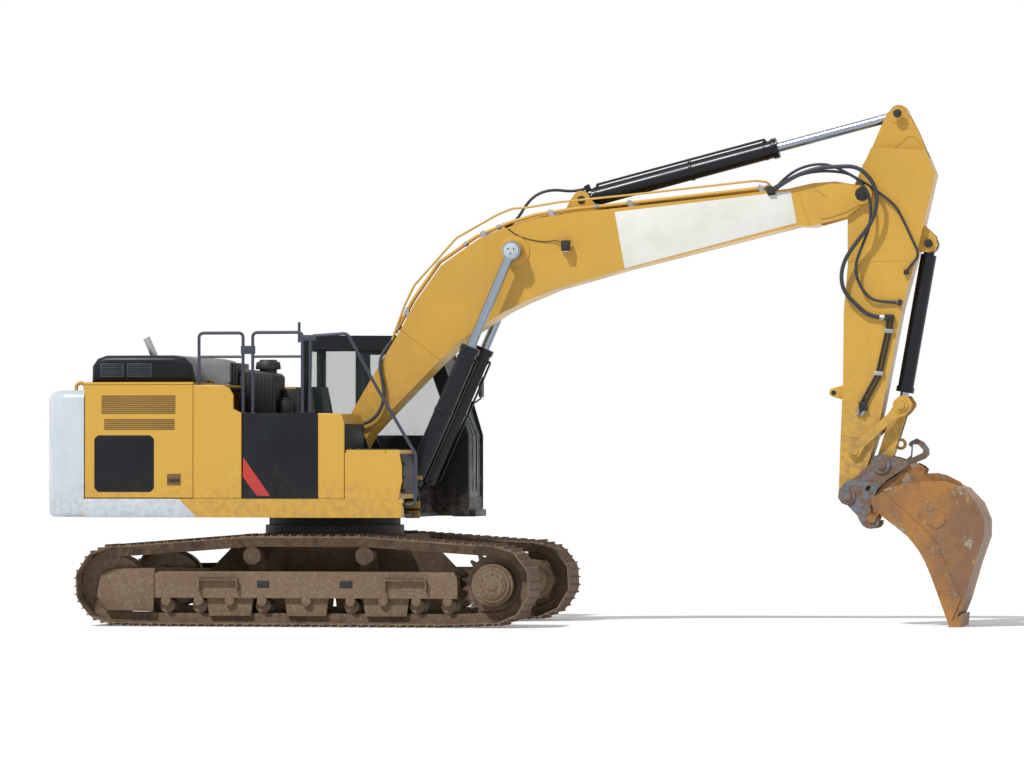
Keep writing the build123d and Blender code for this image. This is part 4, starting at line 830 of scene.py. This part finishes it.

# black plates and steps at the front of the tanks and the tool box: partly their own black details, partly
# painted shade on faces turned from the sun
front = Shape()
front.prism([(412, 1360), (412, 2140), (418, 2140), (418, 1360)], FACE + 20, -480, 1)
front.prism([(1024, 1400), (1030, 1540), (1030, 1700), (1008, 1820), (1014, 1822), (1036, 1702),
             (1036, 1540), (1030, 1400)], FACE + 30, -650, 1)
for z in (1420, 1560, 1700):
    front.box(1020, 1050, FACE + 60, -900, z, z + 30, 4)
front.done("front_face_plates_black_and_painted_shade", black, "house", "black_paint")
Shape().box(470, 830, FACE + 60, -660, 1862, 1878, 7, 3).done(
    "tool_box_lid_tread", black, "tool_box_lid", "black_paint")
deck_trim = Shape()
for z in (1136, 1240):
    deck_trim.box(880, 1036, -560, -520, z, z + 80, 4)
deck_trim.box(905, 1093, -720, -690, 1550, 1592, 5)
deck_trim.done("deck_front_brackets", yellow, "house", "yellow_paint")

# ---------------------------------------------------------------- top of the house
cleaner = Shape()
cleaner.prism([(-985, 2241), (-985, 2700), (-950, 2740), (-620, 2695), (-585, 2660),
               (-585, 2241)], -340, 160, 18, 3)
for k in range(9):
    cleaner.box(-978 + k * 43, -960 + k * 43, -352, 172, 2270, 2660 - k * 2, 5)
cleaner.rod((-720, -90, 2650), (-720, -90, 2740), 95, sides=36)
cleaner.rod((-720, -90, 2738), (-720, -90, 2820), 140, 128, sides=40, bevel=12)
cleaner.rod((-720, -90, 2818), (-720, -90, 2843), 105, 90, sides=36, bevel=6)
cleaner.box(-575, -425, -40, 160, 2241, 2530, 8)
cleaner.rod((-500, -200, 2241), (-500, -200, 2400), 72, bevel=6)
cleaner.rod((-500, -200, 2398), (-500, -200, 2428), 58, bevel=6)
cleaner.done("air_cleaner", plastic, "house", "black_plastic")
duct = Shape()
for k in range(3):
    duct.box(-1078 + k * 29, -1050 + k * 29, -380, 180, 2500, 2810 - 4 * k, 9, 3)
duct.done("air_duct", plastic, "house", "black_plastic")

RAIL_Y, RAIL_R, TANK_TOP = -HOUSE_HALF + 63, 17, 2250
rails = Shape()
for x0, x1, foot, top, middle in ((-1175, -697, 2555, 3104, 2852),
                                  (-593, -55, TANK_TOP, 3108, 2853)):
    rails.tube([(x0, RAIL_Y, foot), (x0, RAIL_Y, top), (x1, RAIL_Y, top), (x1, RAIL_Y, TANK_TOP)],
               RAIL_R, 110)
    rails.rod((x0, RAIL_Y, middle), (x1, RAIL_Y, middle), 14)
    for x, z in ((x0, foot), (x1, TANK_TOP)):
        rails.box(x - 30, x + 36, RAIL_Y - 20, RAIL_Y + 40, z, z + 10, 2)
rails.tube([(22, RAIL_Y, TANK_TOP), (35, RAIL_Y, 3069), (426, RAIL_Y, 3096), (722, RAIL_Y, 2565),
            (1166, RAIL_Y, 1813), (1154, RAIL_Y, 1290), (1030, RAIL_Y, 1290)], RAIL_R, 90)
rails.box(-718, -568, RAIL_Y - 24, RAIL_Y + 24, 2880, 2968, 6)
rails.box(-80, 90, RAIL_Y - 22, RAIL_Y + 22, 3020, 3080, 6)
rails.rod((-90, RAIL_Y, 3000), (-90, RAIL_Y, 3215), 15)
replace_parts(rails.done("guard_rails", rail_blue, "house", "black_paint"), "handrails")

STACK_R = 39
stack = Shape()
stack.rod((-2012, 0, 2425), (-2012, 0, 2905), STACK_R, sides=32)
stack.rod((-2008, 0, 2890), (-2095, 0, 3085), STACK_R, sides=32, bevel=2)
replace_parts(stack.done("exhaust_stack", steel, "house", "dark_steel"), "exhaust")

# ---------------------------------------------------------------- engine hood
HOOD_HALF, HOOD_SIDE, STACK_HALF = 1250, 1170, 125    # half widths: hood, thin part, opening
# the hood's section lengthwise, from back to front
outer = [(-2400, 2588), (-2395, 2760), (-2340, 2840), (-2240, 2875), (-1500, 2875),
         (-1380, 2850), (-1300, 2770), (-1262, 2588)]
inner = [(-2370, 2588), (-2368, 2750), (-2322, 2815), (-2235, 2845), (-1505, 2845),
         (-1395, 2822), (-1326, 2756), (-1292, 2588)]
hood = Shape()
for s in (-1, 1):
    hood.prism(outer + inner[::-1], s * STACK_HALF, s * HOOD_SIDE, 0)
    cheek = carried([(x, s * HOOD_SIDE, z) for x, z in outer], (0, s * (HOOD_HALF - HOOD_SIDE), 0))
    rim = [e for e in cheek.edges if all(abs(v.co.y) > HOOD_HALF - 1 for v in e.verts)]
    round_off(cheek, rim, 70, 6)
    hood.take(cheek, 0)
    hood.disc(-1244, 2604, 14, s * 476, s * 564, 0)
    hood.box(-1290, -1244, s * 476, s * 564, 2598, 2612, 0)
hood.prism([(-1950, 2875), (-1500, 2875), (-1380, 2850), (-1300, 2770), (-1262, 2588),
            (-1292, 2588), (-1326, 2756), (-1395, 2822), (-1505, 2845), (-1950, 2845)],
           -STACK_HALF, STACK_HALF, 0)
hood.prism([(-2400, 2588), (-2395, 2760), (-2340, 2840), (-2282, 2860), (-2282, 2830),
            (-2322, 2815), (-2368, 2750), (-2370, 2588)], -STACK_HALF, STACK_HALF, 0)
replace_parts(hood.done("engine_hood_shell", panel_black, "engine_hood", "black_paint"),
            "engine_hood")
GRILLE_LOW, GRILLE_HIGH = 2648, 2782
grille = Shape()
for s in (-1, 1):
    back, front = s * (HOOD_HALF - 2), s * (HOOD_HALF + 9)
    for x0, x1 in ((-2290, -2045), (-1995, -1740)):
        for z in range(GRILLE_LOW + 12, GRILLE_HIGH - 10, 20):
            grille.box(x0, x1, back, s * (HOOD_HALF + 6), z, z + 10, 2)
        for x in (x0, x1):
            grille.box(x - 8, x + 8, back, front, GRILLE_LOW, GRILLE_HIGH, 3)
        for z in (GRILLE_LOW, GRILLE_HIGH):
            grille.box(x0 - 8, x1 + 8, back, front, z - 6, z + 6, 3)
grille.done("engine_hood_grilles", rail_blue, "engine_hood", "black_paint")

# ---------------------------------------------------------------- cab
panes = Shape()
panes.prism([(-398, 2002), (-398, 2958), (819, 2958), (878, 2909), (1178, 2070), (1178, 2002)],
            590, 584, 0)
panes.prism([(-408, 2152), (-408, 2958), (-72, 2958), (-72, 2152)], 1481, 1487, 0)
panes.prism([(1032, 2955), (1232, 2400), (1350, 2032), (1350, 1352), (1343, 1352), (1343, 2031),
             (1225, 2398), (1025, 2953)], 641, 1414, 0)
panes.box(-492, -486, 651, 1404, 2252, 2948, 0)
panes.box(-98, 598, 731, 1324, 3080, 3086, 0)
panes.done("cab_windows", glass, "house", "black_plastic")
Shape().prism([(92, 2032), (92, 2918), (809, 2918), (849, 2879), (1028, 2330), (1028, 2032)],
              1481, 1487, 0).done("cab_door_window", glass, "cab_door", "black_plastic")
fitted = Shape()
# mirror and its arm, then the strips down the front corners
fitted.tube([(1210, 1499, 2360), (1210, 1555, 2360), (1318, 1600, 2440), (1318, 1600, 2520)],
            10, 25)
fitted.box(1300, 1338, 1520, 1680, 2450, 2680, 12, 3)
for y in (612, 1440):
    fitted.prism([(1352, 1240), (1352, 2028), (1240, 2404), (1256, 2408), (1368, 2030),
                  (1368, 1240)], y - 14, y + 14, 3)
# front step, wiper, and a bar and lamps on the roof
fitted.box(1159, 1417, 700, 1380, 1141, 1216, 10)
fitted.tube([(1368, 1020, 1420), (1372, 1020, 2020), (1300, 900, 2250)], 8, 20)
fitted.box(560, 900, 700, 760, 3108, 3150, 8)
for y in (640, 1340):
    fitted.rod((880, y, 3060), (900, y, 3010), 50, sides=24)
# joystick on each console, then the travel levers
for y in (705, 1355):
    fitted.rod((60, y, 1900), (80, y, 2080), 16, sides=12)
    fitted.rod((80, y, 2080), (84, y, 2140), 30, 22, sides=16)
for y in (930, 1010, 1090):
    fitted.rod((930, y, 1300), (900, y, 1660), 13, sides=12)
fitted.done("cab_fittings", plastic, "house", "black_plastic")

# ---------------------------------------------------------------- undercarriage
GAUGE_HALF = 1295
FRAME_OUT = GAUGE_HALF + 205                # outer face of a track frame
DRIVE_HUB = (2000, 450)
ROLLERS = (-1520, -1165, -830, -480, 0, 475, 825, 1180, 1515)
for s, side in SIDES:
    outer = s * FRAME_OUT
    work = Shape()
    work.prism([(-2233, 552), (-2084, 608), (-1644, 616), (-1660, 152), (-2173, 167), (-2278, 321)],
               s * (GAUGE_HALF + 165), s * (GAUGE_HALF + 185), 6)
    for x0, x1 in ((-1160, -733), (846, 1297)):
        work.prism([(x0, 367), (x0, 500), (x1, 500), (x1, 367), (x1 - 14, 367), (x1 - 14, 486),
                    (x0 + 14, 486), (x0 + 14, 367)], outer - s * 4, outer + s * 60, 4)
        teeth = 14
        for k in range(teeth):
            x = x0 + 12 + k * (x1 - x0 - 36) / (teeth - 1)
            work.box(x, x + 14, outer + s * 2, outer + s * 62, 494, 512, 2)
    for x in ROLLERS:
        work.disc(x, 270, 52, outer - s * 40, outer - s * 2, 5)
    work.disc(*DRIVE_HUB, 150, s * 1548, s * 1566, 6, 36)
    work.bolts(*DRIVE_HUB, 120, 12, s * 1560, s * 1578, 12)
    work.disc(*DRIVE_HUB, 60, s * 1560, s * 1580, 8)
    work.done(f"track_frame_fittings_{side}", frame_mud, "undercarriage", "track_steel")
    # black boxes on the frame's outer face: painted shade of its slots
    painted_slot_shade = Shape()
    for x0, x1 in ((-533, -395), (357, 502)):
        painted_slot_shade.box(x0, x1, outer - s * 10, outer + s * 2, 405, 490, 10)
    painted_slot_shade.done(f"track_frame_slots_painted_shade_{side}", plastic, "undercarriage", "dark_steel")


# ---------------------------------------------------------------- floor, light and background
def ray_share(f):
    """1 for rays that show the background: straight, mirrored or through glass."""
    seen = f.node("ShaderNodeLightPath", out="Is Camera Ray")
    for other in ("Is Glossy Ray", "Is Transmission Ray"):
        seen = seen.maths("MAXIMUM", seen, f.node("ShaderNodeLightPath", out=other))
    return seen


FLOOR_SIZE, FLOOR_GLOW = 150, 0.2
floor_mesh = bmesh.new()
bmesh.ops.create_grid(floor_mesh, x_segments=1, y_segments=1, size=FLOOR_SIZE)
floor = show("floor", floor_mesh, Finish("pale_floor").done(
    base_color=paint(246, 246, 246), roughness=0.9, emission_color=(1, 1, 1, 1),
    emission_strength=FLOOR_GLOW))
floor.location = at(3000, 60000, -1)

world = bpy.data.worlds.new("studio")
bpy.context.scene.world = world
world.use_nodes = True


class Backdrop(Finish):
    """The world's node tree, with the same node method as a material."""

    def __init__(self, tree):
        self.tree = tree


FILL_LIGHT, SEEN_LIGHT = 0.28, 1.0      # of the background: on surfaces, and as it shows itself
sky = Backdrop(world.node_tree)
background = world.node_tree.nodes["Background"]
background.inputs["Color"].default_value = (1, 1, 1, 1)
sky.plug(background.inputs["Strength"],
         ray_share(sky) * (SEEN_LIGHT - FILL_LIGHT) + FILL_LIGHT)


def sun(name, strength, spread, elevation, azimuth):
    """Sun from an azimuth seen from above: 0 from the front of the machine, 90 from its left."""
    lamp = bpy.data.objects.new(name, bpy.data.lights.new(name, "SUN"))
    lamp.data.energy, lamp.data.angle = strength, math.radians(spread)
    e, a = math.radians(elevation), math.radians(azimuth)
    source = Vector((math.cos(e) * math.cos(a), math.cos(e) * math.sin(a), math.sin(e)))
    lamp.rotation_euler = source.to_track_quat("Z", "Y").to_euler()
    bpy.context.collection.objects.link(lamp)


sun("key_light", 2.7, 3, 50, -120)
